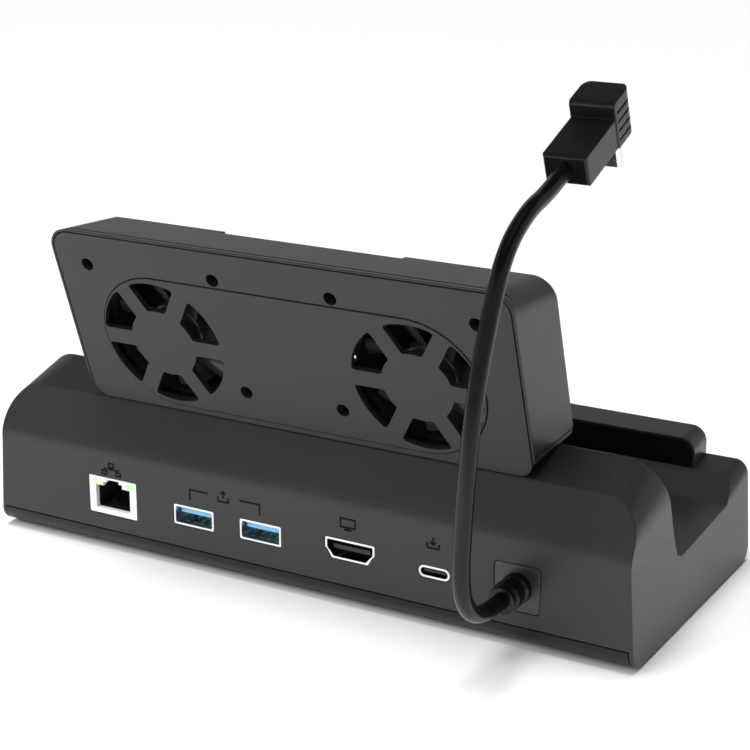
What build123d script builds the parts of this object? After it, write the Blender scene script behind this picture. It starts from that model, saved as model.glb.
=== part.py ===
from build123d import *
import os
from math import atan2, cos, hypot, pi, radians, sin, sqrt, tan

# A docking stand for a handheld console: a base with a slot, a leaning back rest that holds two
# cooling fans, a row of sockets in the rear wall and a captive lead with a right-angled plug.
# Millimetres. +Z is up, the open front faces -Y, the sockets face +Y and X runs along the length.
# Inside the base a place is given as v, the distance forward of the rear wall, and w, the height
# above the underside. back(v) and up(w) turn them into Y and Z.

# ---------------------------------------------------------------- driving dimensions: base
BASE_LENGTH = 199.4
BASE_DEPTH = 84.3
FOOT_HEIGHT = 1.0  # the underside stands this far above the table
WALL = 2.2
END_LEAN = 1.65  # each end wall leans in by this much
END_LEAN_TOP = 26.0  # height at which the end walls turn upright
REAR_BEND = 29.3  # height at which the rear wall starts to lean forward
RIDGE_REAR = (7.55, 42.4)  # v, w of the sharp edge behind the back rest
RIDGE_FRONT = (20.5, 48.3)  # v, w of the edge above the slot
SLOT_WALL_FOOT = (30.4, 19.9)
SLOT_FLOOR_REAR = (33.2, 18.7)
SLOT_FLOOR_FRONT = (17.5, 21.1)  # behind the base's front, w
LIP_REAR = (9.1, 26.6)  # behind the base's front, w
LIP_FRONT_HEIGHT = 28.6
REAR_CORNER_RADIUS = 9.4  # of the end corner at the ridge's rear edge
FRONT_CORNER_RADIUS = 13.2  # of the end corner at the ridge's front edge
BOTTOM_REAR_RADIUS = 5.0
BOTTOM_FRONT_RADIUS = 4.0
BEND_RADIUS = 9.0
SLOT_CORNER_RADIUS = 1.2
LIP_END_RADIUS = 4.4
EDGE_RADIUS = 0.4

# ---------------------------------------------------------------- bottom cover, feet and screws
SEAM_HEIGHT = 5.2  # top of the bottom cover's rim
SEAM_INSET = 1.5  # the end walls stand outside the cover by this much
SEAM_GAP = 0.25
COVER_FLOOR = 2.0
COVER_RIM = 1.7
FOOT_RADIUS = 5.0
FOOT_RECESS = 0.6
FOOT_INSET = (15.7, 12.2)  # from the ends, from the rear and the front
SCREW_INSET = (8.7, 24.0)
BOSS_RADIUS = 3.0
SCREW_SHANK = 1.25
SCREW_HEAD = 2.3
SCREW_HEAD_HEIGHT = 1.4
SCREW_LENGTH = 10.0
SCREW_SEAT = 1.9  # w of the underside of the head's seat
PAD_TOP = 3.8  # w of the cover's pads, on which the shell's bosses stand
PAD_RADIUS = 4.5
BORE_CLEARANCE = 0.05

# ---------------------------------------------------------------- front stop
STOP_INSET = 14.1  # from the base's ends
STOP_THICKNESS = 8.9
STOP_HEIGHTS = (34.9, 36.1)  # top at the rear edge and at the front edge
STOP_END_RADIUS = 4.3
STOP_RIM = 0.9
PAD_RECESS = 1.0
PAD_GAP = 0.1
FLOOR_PAD = (21.7, 0.2, 0.6)  # inset from the ends, part of the floor left bare at each edge, thickness
FLOOR_PAD_CORNER = 3.0

# ---------------------------------------------------------------- back rest
TILT = 18.5  # degrees that the back rest leans back
REST_HALF_WIDTH = 69.2
REST_HEIGHT = 55.1  # along the leaning panel
REST_THICKNESS = 22.4
REST_TOP_DROP = 1.4  # the top is this much lower at the front
REST_BOTTOM = (47.2, 48.8)  # height of the underside of the housing's ends, rear and front
REST_CORNER_RADIUS = 6.5
REST_FRONT_RADIUS = 1.8
REST_GROOVE = (0.9, 0.3, 0.3)  # of the housing's ends: above the edge, width, depth
REST_WALL = 1.7
NECK_HALF_WIDTH = 63.0
REST_FLOOR = 1.0  # thickness of the housing where it lies on the ridge
RECESS_HALF_WIDTH = 27.8
RECESS_DEPTH = 2.5
PANEL_RIM = 0.65
PANEL_GAP = 0.35
PANEL_THICKNESS = 2.4
PANEL_LOWER_RADIUS = 4.5
PANEL_LOW = 0.3
REBATE_RUN_OUT = 9.0  # the rebate is carried this far below the ridge
PANEL_BORE = 19.5
FAN_POST = 2.6
FAN_POST_FLOOR = 1.8
PANEL_SCREWS = ((58.4, 44.8), (17.75, 45.7), (15.0, 11.0))  # each also at minus x
PANEL_HOLE = 1.85
WELL_RADIUS = 2.4
WELL_DEPTH = 6.2
WELL_FLOOR = 1.2
PANEL_SCREW_SHANK = 1.1
PANEL_SCREW_HEAD = 1.7
LOUVRE_HEIGHTS = (9.0, 14.0, 19.0, 24.0, 29.0, 34.0, 39.0)
LOUVRE_SLOT = 2.2
LOUVRE_HALF_LENGTH = 13.0
REST_PAD = (64.6, 2.2, 15.0, 37.0, 0.8)  # x, half width, from, to, thickness
REST_SCREW_X = (-61.0, -8.5, 8.5, 61.0)
REST_SCREW_V = 14.5
REST_SCREW_SHANK = 0.9
REST_SCREW_HEAD = 1.8
REST_SCREW_LENGTH = 7.0
REST_SCREW_PLAY = 0.15
REST_BOSS_RADIUS = 2.0
REST_BOSS_HEIGHT = 6.5
LEAD_HOLE = 10.0
LEAD_HOLE_V = (12.0, 18.0)

# ---------------------------------------------------------------- grille plate
PLATE_HALF_LENGTH = 58.1
PLATE_HEIGHT = 41.0
PLATE_CENTRE = 22.7
PLATE_THICKNESS = 1.6
PLATE_PROUD = 0.25
PLATE_GAP = 0.2
OPENING_OUTER = 18.9
OPENING_INNER = 10.2
SPOKE_WIDTH = 4.9
OPENING_CORNER = 0.8
OPENINGS = 6

# ---------------------------------------------------------------- fans
FAN_X = 38.9
FAN_SIZE = 40.0
FAN_DEPTH = 10.0
FAN_REAR = 4.6  # below the panel's face
FAN_CORNER = 3.0
FAN_PLAY = 0.15  # room around a fan in the housing
FAN_BORE = 19.2
FAN_HOLE_PITCH = 32.0
FAN_HOLE = 1.7
FAN_SCREW_SHANK = 1.4
FAN_SCREW_HEAD = 2.7
FAN_SCREW_HEAD_HEIGHT = 1.2
HUB_RADIUS = 8.5
HUB_TOP = 1.1  # below the frame's rear face
HUB_DEPTH = 7.0
HUB_WALL = 0.9
BLADES = 7
BLADE_TIP = 18.5
BLADE_THICKNESS = 0.8
BLADE_ROOT_CHORD = 8.2
BLADE_TIP_CHORD = 10.6
BLADE_ROOT_PITCH = 48.0
BLADE_TIP_PITCH = 32.0
BLADE_SWEEP = 16.0
BLADE_CAMBER = 0.12
SHAFT_RADIUS = 1.0
SHAFT_CLEARANCE = 0.03
BEARING_RADIUS = 2.0
BEARING_POST = 3.0
BEARING_TOP = -3.4  # below the frame's rear face
SHAFT_BOSS = 2.2
LEAD_RADIUS = 0.9
LEAD_SIDE = 3.0
FAN_PLUG_X = 5.0
FAN_PLUG_V = 20.0
FAN_PLUG_HEIGHT = 4.0
MOTOR_BASE = 8.9
MOTOR_BASE_THICKNESS = 1.4
STRUT_WIDTH = 2.4
STRUTS = 4
STATOR_RADIUS = 6.1
STATOR_POLES = 4
MAGNET_THICKNESS = 0.9

# ---------------------------------------------------------------- sockets: x and w of the centre
NETWORK_JACK = (58.6, 15.5)
USB_A_JACKS = ((30.9, 14.9), (9.05, 14.9))
HDMI_JACK = (-19.0, 15.4)
USB_C_JACK = (-44.2, 14.7)
NETWORK_SIZE = (16.4, 11.0, 15.5)
USB_A_SIZE = (13.2, 5.8, 14.0)
HDMI_SIZE = (15.0, 5.7, 11.5)
USB_C_SIZE = (9.0, 3.25, 8.0)
HDMI_CHAMFER = 2.0
HDMI_STEP = 0.9
SHELL_METAL = 0.3
JACK_SET_BACK = 0.1  # the mouths lie this far inside the rear wall's face
JACK_LIP = (0.55, 0.7)  # thickness and depth of the rolled lip of a shell's mouth
JACK_GAP = 0.12

# ---------------------------------------------------------------- board
BOARD_X = (-56.0, 73.0)
BOARD_V = (2.9, 56.0)
BOARD_TOP = 11.9  # w
BOARD_THICKNESS = 1.6
BOARD_BOSS_RADIUS = 2.8
BOARD_SCREW_SHANK = 1.0
BOARD_SCREW_HEAD = 1.9
BOARD_SCREW_LENGTH = 5.0
BOARD_SCREWS = ((-50.0, 50.0), (67.0, 50.0), (-30.5, 24.0), (44.0, 24.0))  # x, v
CHIP_HEIGHT = 1.2
CHIPS = (
    (10.0, 33.0, 14.0, 14.0),
    (-14.0, 31.0, 9.0, 9.0),
    (34.0, 34.0, 9.0, 9.0),
    (-34.0, 40.0, 6.0, 6.0),
    (56.0, 34.0, 8.0, 6.0),
)  # x, v, width, depth
CAN_RADIUS = 3.0
CAN_HEIGHT = 4.0
CANS = ((-44.0, 32.0), (-44.0, 40.0), (64.0, 26.0))
COILS = ((-30.0, 32.0), (26.0, 48.0), (56.0, 24.0))
SPREADER = ((-20.0, 40.0), (26.0, 41.0), 1.2)
NETWORK_FLANGE = 1.1  # thickness of the face that shows in the rear wall
NETWORK_FLOOR = 1.2
NETWORK_REACH = 12.0
NETWORK_STEPS = ((5.9, 6.9), (3.3, 8.1), (2.1, 8.9))  # half width, height above the floor
NETWORK_LIGHT = (6.1, 3.0, 1.5)  # distance from the middle, width, height
TONGUE_SET_BACK = 2.2
NETWORK_WIRES = 8
NETWORK_PITCH = 1.02

# ---------------------------------------------------------------- captive lead
LEAD_X = -67.8
LEAD_HEIGHT = 15.85  # w of the lead's exit
GLAND_SIZE = 12.5
GLAND_FLANGE = 14.6
GLAND_CORNER = 1.0
BOOT_LENGTH = 9.5
BOOT_ROOT_RADIUS = 4.4
BOOT_TIP_RADIUS = 4.1
BOOT_GROOVE = 0.8
BOOT_RINGS = 3
BOOT_NECK = 3.2  # radius where the boot passes through the gland plate
TAIL_END = (-51.0, 16.0, 8.0)  # x and v of the board connector, radius of the bend before it
CORD_DIAMETER = 4.4
# The lead's route beyond the boot: v and w of each corner, in the upright plane of LEAD_X.
ROUTE = (
    (-18.45, 15.85),
    (-26.95, 19.7),
    (-31.35, 27.8),
    (-30.25, 43.8),
    (-28.15, 60.0),
    (-24.65, 75.5),
    (-18.65, 90.5),
    (-11.35, 105.0),
    (0.65, 112.3),
    (11.645, 114.441),
)
PLUG_PLACE = (21.8, 118.4)  # v and w of the middle of the plug's cable face
PLUG_TILT = 21.3  # degrees that the plug's long axis rises
PLUG_WIDTH = 11.8
PLUG_TOP = 3.75
PLUG_BOTTOM = -4.2
PLUG_BLOCK = 18.4
PLUG_LENGTH = 29.3
PLUG_HEAD_WIDTH = 12.3
PLUG_HEAD_TOP = 8.2
PLUG_HEAD_BOTTOM = -4.4
PLUG_CORNER = 3.4
PLUG_EDGE = 0.7
PLUG_GROOVES = (5.2, 2.7, 0.2, -2.3)  # heights across the head
PLUG_GROOVE = (0.7, 0.45)  # width and depth
TIP_SIZE = (8.34, 2.6)
TIP_PLACE = 23.4
TIP_LENGTH = 8.0
TIP_ROOT = 3.0

# ---------------------------------------------------------------- derived places
SLOPE = radians(TILT)
OVERHANG = REST_HEIGHT * sin(SLOPE) - RIDGE_REAR[0]
REAR_Y = (BASE_DEPTH - OVERHANG) / 2  # the origin lies under the middle of the whole
HALF_LENGTH = BASE_LENGTH / 2
UPPER_HALF_LENGTH = HALF_LENGTH - END_LEAN
FLOOR_FRONT = (BASE_DEPTH - SLOT_FLOOR_FRONT[0], SLOT_FLOOR_FRONT[1])
LAND_REAR = (BASE_DEPTH - LIP_REAR[0], LIP_REAR[1])
FOOT_X = HALF_LENGTH - FOOT_INSET[0]
FOOT_V = (FOOT_INSET[1], BASE_DEPTH - FOOT_INSET[1])
SCREW_X = HALF_LENGTH - SCREW_INSET[0]
SCREW_V = (SCREW_INSET[1], BASE_DEPTH - SCREW_INSET[1])
STOP_HALF_LENGTH = HALF_LENGTH - STOP_INSET
STOP_REAR = BASE_DEPTH - STOP_THICKNESS
HUB_MIDDLE = -HUB_TOP - HUB_DEPTH / 2
RIDGE_SLOPE = (RIDGE_FRONT[1] - RIDGE_REAR[1]) / (RIDGE_FRONT[0] - RIDGE_REAR[0])

written = {}


def back(v):
    return REAR_Y - v


def up(w):
    return FOOT_HEIGHT + w


def save(name, shape):
    """Writes one node as a compound of its solids and remembers it for the printed summary."""
    solids = shape.solids()
    node = solids[0] if len(solids) == 1 else Compound(children=list(solids))
    node.label = name
    export_step(node, f"parts/{name}.step")
    written[name] = sum(solid.volume for solid in solids)


def carried(points, x_from, x_to, radii=None):
    """The closed outline of (v, w) points carried along X."""
    corners = [(x_from, back(v), up(w)) for v, w in points]
    if radii is None:
        outline = Polyline(*corners, close=True)
    else:
        outline = FilletPolyline(*corners, radius=radii, close=True)
    return extrude(make_face(outline), amount=x_to - x_from, dir=(1, 0, 0))


def inset(points, distance):
    """Moves every side of a closed outline inwards by a distance and joins them again."""
    following = points[1:] + points[:1]
    previous = points[-1:] + points[:-1]
    area = sum(a[0] * b[1] - b[0] * a[1] for a, b in zip(points, following))
    side = 1 if area > 0 else -1
    moved = []
    for before, here, after in zip(previous, points, following):
        first = hypot(here[0] - before[0], here[1] - before[1])
        second = hypot(after[0] - here[0], after[1] - here[1])
        n1 = (-(here[1] - before[1]) / first * side, (here[0] - before[0]) / first * side)
        n2 = (-(after[1] - here[1]) / second * side, (after[0] - here[0]) / second * side)
        reach = distance / (1 + n1[0] * n2[0] + n1[1] * n2[1])
        moved.append((here[0] + (n1[0] + n2[0]) * reach, here[1] + (n1[1] + n2[1]) * reach))
    return moved


def block(x, v, w):
    """A box between two values of x, of v and of w."""
    size = (x[1] - x[0], v[1] - v[0], w[1] - w[0])
    middle = ((x[0] + x[1]) / 2, back((v[0] + v[1]) / 2), up((w[0] + w[1]) / 2))
    return Pos(*middle) * Box(*size)


def post(x, v, w_from, w_to, radius):
    """An upright cylinder."""
    return Pos(x, back(v), up((w_from + w_to) / 2)) * Cylinder(radius, w_to - w_from)


# ---------------------------------------------------------------- base shell and bottom cover
def base_profile(underside=0.0):
    """The end view of the base as (v, w) corners, starting at the rear underside."""
    return [
        (0.0, underside),
        (0.0, REAR_BEND),
        RIDGE_REAR,
        RIDGE_FRONT,
        SLOT_WALL_FOOT,
        SLOT_FLOOR_REAR,
        FLOOR_FRONT,
        LAND_REAR,
        (BASE_DEPTH, LIP_FRONT_HEIGHT),
        (BASE_DEPTH, underside),
    ]


def ridge(v):
    """Height of the ridge's top face at a depth v."""
    return RIDGE_REAR[1] + RIDGE_SLOPE * (v - RIDGE_REAR[0])


def land(v):
    """Height of the land that the front stop stands on."""
    rise = (LIP_FRONT_HEIGHT - LAND_REAR[1]) / (BASE_DEPTH - LAND_REAR[0])
    return LAND_REAR[1] + rise * (v - LAND_REAR[0])


def end_outline(v, thickness):
    """The front view of the base at a depth v: leaning ends and round top corners."""
    if v < SLOT_FLOOR_REAR[0]:
        spread = FRONT_CORNER_RADIUS - REAR_CORNER_RADIUS
        run = RIDGE_FRONT[0] - RIDGE_REAR[0]
        radius = REAR_CORNER_RADIUS + spread * (v - RIDGE_REAR[0]) / run - thickness
        top = up(ridge(v)) - thickness
    else:
        radius = LIP_END_RADIUS
        top = up(land(v)) - thickness
    low = HALF_LENGTH - thickness
    high = UPPER_HALF_LENGTH - thickness
    y = back(v)
    lean_top = min(up(END_LEAN_TOP), top - radius - 0.1)
    narrow = low - (low - high) * (lean_top - up(0)) / END_LEAN_TOP
    bottom = -WALL * 2
    diagonal = radius * sqrt(0.5)
    right = [(low, y, bottom), (low, y, up(0)), (narrow, y, lean_top), (narrow, y, top - radius)]
    arc_middle = (narrow - radius + diagonal, top - radius + diagonal)
    edges = []
    for sign in (1, -1):
        side = [(sign * x, yy, z) for x, yy, z in right]
        edges.append(Polyline(*side))
        middle = (sign * arc_middle[0], y, arc_middle[1])
        end = (sign * (narrow - radius), y, top)
        edges.append(ThreePointArc(side[-1], middle, end))
    edges.append(Line((narrow - radius, y, top), (radius - narrow, y, top)))
    edges.append(Line((low, y, bottom), (-low, y, bottom)))
    return make_face(edges)


def end_shape(thickness):
    """Everything between the end walls: rounded at the ridge and the lip, square at the slot."""
    first, second = SLOT_WALL_FOOT[0], FLOOR_FRONT[0]
    ridge_part = loft([end_outline(-WALL, thickness), end_outline(first, thickness)], ruled=True)
    ends = [end_outline(v, thickness) for v in (second, BASE_DEPTH + WALL)]
    lip_part = loft(ends, ruled=True)
    low = HALF_LENGTH - thickness
    high = UPPER_HALF_LENGTH - thickness
    ceiling = up(RIDGE_FRONT[1])
    right = [(low, -WALL * 2), (low, up(0)), (high, up(END_LEAN_TOP)), (high, ceiling)]
    left = [(-x, z) for x, z in reversed(right)]
    corners = [(x, back(first), z) for x, z in right + left]
    slot_part = make_face(Polyline(*corners, close=True))
    return ridge_part + extrude(slot_part, amount=second - first, dir=(0, -1, 0)) + lip_part


def base_body():
    """The outside of the base, with its bottom cover still part of it."""
    radii = [
        BOTTOM_REAR_RADIUS,
        BEND_RADIUS,
        EDGE_RADIUS,
        EDGE_RADIUS,
        SLOT_CORNER_RADIUS,
        SLOT_CORNER_RADIUS,
        SLOT_CORNER_RADIUS,
        EDGE_RADIUS,
        EDGE_RADIUS,
        BOTTOM_FRONT_RADIUS,
    ]
    outside = carried(base_profile(), -HALF_LENGTH - 1, HALF_LENGTH + 1, radii)
    return outside & end_shape(0.0)


def base_cavity():
    """The hollow inside the base shell, open at the bottom."""
    profile = inset(base_profile(-4 * WALL), WALL)
    hollow = carried(profile, -HALF_LENGTH, HALF_LENGTH)
    return hollow & end_shape(WALL)


def cover_space(gap):
    """The room of the bottom cover, larger by a gap at its ends and at its top."""
    half = HALF_LENGTH - SEAM_INSET + gap
    return block((-half, half), (-WALL, BASE_DEPTH + WALL), (-WALL, SEAM_HEIGHT + gap))


def socket_cutouts():
    """The holes in the rear wall, each larger than its socket by the gap."""
    cuts = []
    for (x, w), (width, height, _), corner in socket_list():
        face = jack_outline(width + 2 * JACK_GAP, height + 2 * JACK_GAP, corner)
        cuts.append(along_depth(face, x, w, -WALL, 2 * WALL))
    half = GLAND_SIZE / 2 + JACK_GAP
    face = RectangleRounded(2 * half, 2 * half, GLAND_CORNER)
    cuts.append(along_depth(face, LEAD_X, LEAD_HEIGHT, -WALL, 2 * WALL))
    return cuts


def socket_list():
    """Place, size and corner of every socket."""
    sockets = [(NETWORK_JACK, NETWORK_SIZE, 0.4)]
    sockets += [(place, USB_A_SIZE, 0.5) for place in USB_A_JACKS]
    sockets.append((HDMI_JACK, HDMI_SIZE, "hdmi"))
    sockets.append((USB_C_JACK, USB_C_SIZE, "stadium"))
    return sockets


def jack_outline(width, height, corner):
    """The end view of a socket, centred: a rounded rectangle, a stadium or the HDMI shape."""
    if corner == "stadium":
        return RectangleRounded(width, height, height / 2 - 0.01)
    if corner == "hdmi":
        half, top = width / 2, height / 2
        points = [
            (-half, top),
            (half, top),
            (half, 0),
            (half - HDMI_STEP, -HDMI_STEP),
            (half - HDMI_CHAMFER, -top),
            (HDMI_CHAMFER - half, -top),
            (HDMI_STEP - half, -HDMI_STEP),
            (-half, 0),
        ]
        return make_face(FilletPolyline(*points, radius=0.4, close=True))
    return RectangleRounded(width, height, corner)


def along_depth(face, x, w, v_from, v_to):
    """A centred face put upright at x and w and carried from one depth to another."""
    plane = Plane(origin=(x, back(v_from), up(w)), x_dir=(-1, 0, 0), z_dir=(0, 1, 0))
    return extrude(plane * face, amount=v_from - v_to)


def ridge_plane(x, v):
    """A plane on the ridge's top face, its z pointing out of the face."""
    lean = atan2(RIDGE_SLOPE, 1)
    return Plane(origin=(x, back(v), up(ridge(v))), x_dir=(1, 0, 0), z_dir=(0, sin(lean), cos(lean)))


def base_shell():
    body = base_body()
    shell = body - base_cavity() - cover_space(SEAM_GAP)
    for cut in socket_cutouts():
        shell -= cut
    for x in (-SCREW_X, SCREW_X):
        for v in SCREW_V:
            shell += post(x, v, PAD_TOP, RIDGE_FRONT[1], BOSS_RADIUS) & body
            shell -= post(x, v, 0, SCREW_SEAT + SCREW_LENGTH + 1, SCREW_SHANK + BORE_CLEARANCE)
    for x, v in BOARD_SCREWS:
        shell += post(x, v, BOARD_TOP, RIDGE_FRONT[1], BOARD_BOSS_RADIUS) & body
        depth = BOARD_TOP + BOARD_SCREW_LENGTH - BOARD_THICKNESS + 0.3
        shell -= post(x, v, BOARD_TOP, depth, BOARD_SCREW_SHANK + BORE_CLEARANCE)
    for x in REST_SCREW_X:
        axis = ridge_plane(x, REST_SCREW_V)
        shell -= axis * Cylinder(REST_SCREW_SHANK + REST_SCREW_PLAY, 4 * WALL)
    shell -= block((-LEAD_HOLE / 2, LEAD_HOLE / 2), LEAD_HOLE_V, (30, 60))
    save("base_shell", shell)


def bottom_cover():
    body = base_body()
    cover = body & cover_space(0.0)
    rim = HALF_LENGTH - SEAM_INSET - COVER_RIM
    hollow = block((-rim, rim), (COVER_RIM, BASE_DEPTH - COVER_RIM), (COVER_FLOOR, SEAM_HEIGHT + 1))
    cover -= hollow
    for x in (-SCREW_X, SCREW_X):
        for v in SCREW_V:
            cover += post(x, v, COVER_FLOOR - 0.5, PAD_TOP, PAD_RADIUS)
            cover -= post(x, v, -1, SCREW_SEAT, SCREW_HEAD + 0.2)
            cover -= post(x, v, -1, PAD_TOP + 1, SCREW_SHANK + 0.2)
    for x in (-FOOT_X, FOOT_X):
        for v in FOOT_V:
            cover -= post(x, v, -1, FOOT_RECESS, FOOT_RADIUS + 0.1)
    save("bottom_cover", cover)


def rubber_feet():
    feet = []
    for x in (-FOOT_X, FOOT_X):
        for v in FOOT_V:
            foot = post(x, v, -FOOT_HEIGHT, FOOT_RECESS, FOOT_RADIUS)
            feet.append(fillet(foot.edges().group_by(Axis.Z)[0], 0.4))
    save("rubber_feet", Compound(children=feet))


def base_screws():
    screws = []
    for x in (-SCREW_X, SCREW_X):
        for v in SCREW_V:
            head = post(x, v, SCREW_SEAT - SCREW_HEAD_HEIGHT, SCREW_SEAT, SCREW_HEAD)
            drive = post(x, v, 0, SCREW_SEAT - SCREW_HEAD_HEIGHT / 2, 0.9)
            shank = post(x, v, SCREW_SEAT, SCREW_SEAT + SCREW_LENGTH, SCREW_SHANK)
            screws.append(head + shank - drive)
    save("base_screws", Compound(children=screws))


# ---------------------------------------------------------------- front stop and slot floor
def stop_body(shrink, v_from, v_to):
    """The stop, or the room of its pad: smaller all round by shrink, between two depths."""
    rise = (STOP_HEIGHTS[1] - STOP_HEIGHTS[0]) / (BASE_DEPTH - STOP_REAR)
    half = STOP_HALF_LENGTH - shrink
    tops = [STOP_HEIGHTS[0] - shrink + rise * (v - STOP_REAR) for v in (v_from, v_to)]
    corners = [(v_from, land(v_from)), (v_from, tops[0]), (v_to, tops[1]), (v_to, land(v_to))]
    whole = carried(corners, -half, half)
    edges = [
        edge
        for edge in whole.edges()
        if abs(abs(edge.center().X) - half) < 0.01 and edge.center().Z > up(max(tops) - 1.0)
    ]
    return fillet(edges, STOP_END_RADIUS - shrink)


def front_stop():
    bar = stop_body(0.0, STOP_REAR, BASE_DEPTH)
    bar -= stop_body(STOP_RIM, STOP_REAR, STOP_REAR + PAD_RECESS)
    save("front_stop_bar", bar)
    save("front_stop_pad", stop_body(STOP_RIM + PAD_GAP, STOP_REAR, STOP_REAR + PAD_RECESS))


def slot_floor_pad():
    inset_x, bare, thickness = FLOOR_PAD
    half = HALF_LENGTH - inset_x
    floor_depth = FLOOR_FRONT[0] - SLOT_FLOOR_REAR[0]
    v_from = SLOT_FLOOR_REAR[0] + bare * floor_depth
    v_to = FLOOR_FRONT[0] - bare * floor_depth
    rise = (FLOOR_FRONT[1] - SLOT_FLOOR_REAR[1]) / floor_depth
    low = [SLOT_FLOOR_REAR[1] + rise * (v - SLOT_FLOOR_REAR[0]) for v in (v_from, v_to)]
    corners = [
        (v_from, low[0]),
        (v_from, low[0] + thickness),
        (v_to, low[1] + thickness),
        (v_to, low[1]),
    ]
    pad = carried(corners, -half, half)
    save("slot_floor_pad", fillet(pad.edges().filter_by(Axis.Z), FLOOR_PAD_CORNER))


# ---------------------------------------------------------------- back rest, in its own frame
# Seen from behind, x runs to the right, y up the leaning panel from the ridge and z out of it.
REST = Plane(
    origin=(0, back(RIDGE_REAR[0]), up(RIDGE_REAR[1])),
    x_dir=(-1, 0, 0),
    z_dir=(0, cos(SLOPE), -sin(SLOPE)),
)


def leaned(w, z):
    """The distance up the panel at which a height w is met, at a depth z."""
    return (w - RIDGE_REAR[1] + z * sin(SLOPE)) / cos(SLOPE)


def plain(v, w):
    """A (v, w) place as (y, z) of the back rest's own frame."""
    dv = RIDGE_REAR[0] - v
    dw = w - RIDGE_REAR[1]
    return (dv * sin(SLOPE) + dw * cos(SLOPE), dv * cos(SLOPE) - dw * sin(SLOPE))


def side_view(points, half, radii=None):
    """A closed outline of (y, z) points carried along x, both ways."""
    corners = [(-half, y, z) for y, z in points]
    if radii is None:
        outline = Polyline(*corners, close=True)
    else:
        outline = FilletPolyline(*corners, radius=radii, close=True)
    return extrude(make_face(outline), amount=2 * half, dir=(1, 0, 0))


def upright(half, y_from, y_to, low_radius, top_radius, z_from, z_to):
    """A plate seen from behind: rounded at its lower and at its upper corners."""
    corners = [(-half, y_from), (half, y_from), (half, y_to), (-half, y_to)]
    radii = [low_radius, low_radius, top_radius, top_radius]
    face = make_face(FilletPolyline(*corners, radius=radii, close=True))
    return Pos(0, 0, z_from) * extrude(face, amount=z_to - z_from)


def peg(x, y, z_from, z_to, radius):
    """A round bar across the back rest."""
    return Pos(x, y, (z_from + z_to) / 2) * Cylinder(radius, z_to - z_from)


def rest_points():
    """Side view of the housing as (y, z) corners: top rear, top front, low front, low rear."""
    top = RIDGE_REAR[1] + REST_HEIGHT * cos(SLOPE)
    depths = (0, -REST_THICKNESS)
    tops = [leaned(w, z) for w, z in zip((top, top - REST_TOP_DROP), depths)]
    lows = [leaned(w, z) for w, z in zip(REST_BOTTOM, depths)]
    return [(tops[0], 0), (tops[1], depths[1]), (lows[1], depths[1]), (lows[0], 0)]


def rest_outside(shrink=0.0, rear=0.0):
    """The housing's outside, or its inside when shrunk, carried on behind by rear."""
    points = rest_points()
    top_fall = (points[0][0] - points[1][0]) / REST_THICKNESS
    low_fall = (points[3][0] - points[2][0]) / REST_THICKNESS
    points[0] = (points[0][0] + top_fall * rear, rear)
    points[3] = (points[3][0] + low_fall * rear, rear)
    soft = REST_FRONT_RADIUS - min(shrink, REST_FRONT_RADIUS - 0.3)
    whole = side_view(inset(points, shrink), REST_HALF_WIDTH - shrink, [0, 0.6, soft, 0])
    return whole & end_mask(shrink, top_fall)


def end_mask(shrink, top_fall):
    """Round top corners, carried forward along the housing's top face."""
    start = 2 * REST_THICKNESS
    half = REST_HALF_WIDTH - shrink
    top = REST_HEIGHT - shrink * hypot(1, top_fall) + top_fall * start
    corners = [(-half, -200, start), (half, -200, start), (half, top, start), (-half, top, start)]
    radius = REST_CORNER_RADIUS - shrink
    face = make_face(FilletPolyline(*corners, radius=[0, 0, radius, radius], close=True))
    along = (0, -top_fall, -1)
    return extrude(face, amount=4 * REST_THICKNESS * hypot(1, top_fall), dir=along)


def housing_posts():
    """Places of the posts that the panel's screws bite into."""
    return [(sign * x, y) for x, y in PANEL_SCREWS for sign in (-1, 1)]


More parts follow.
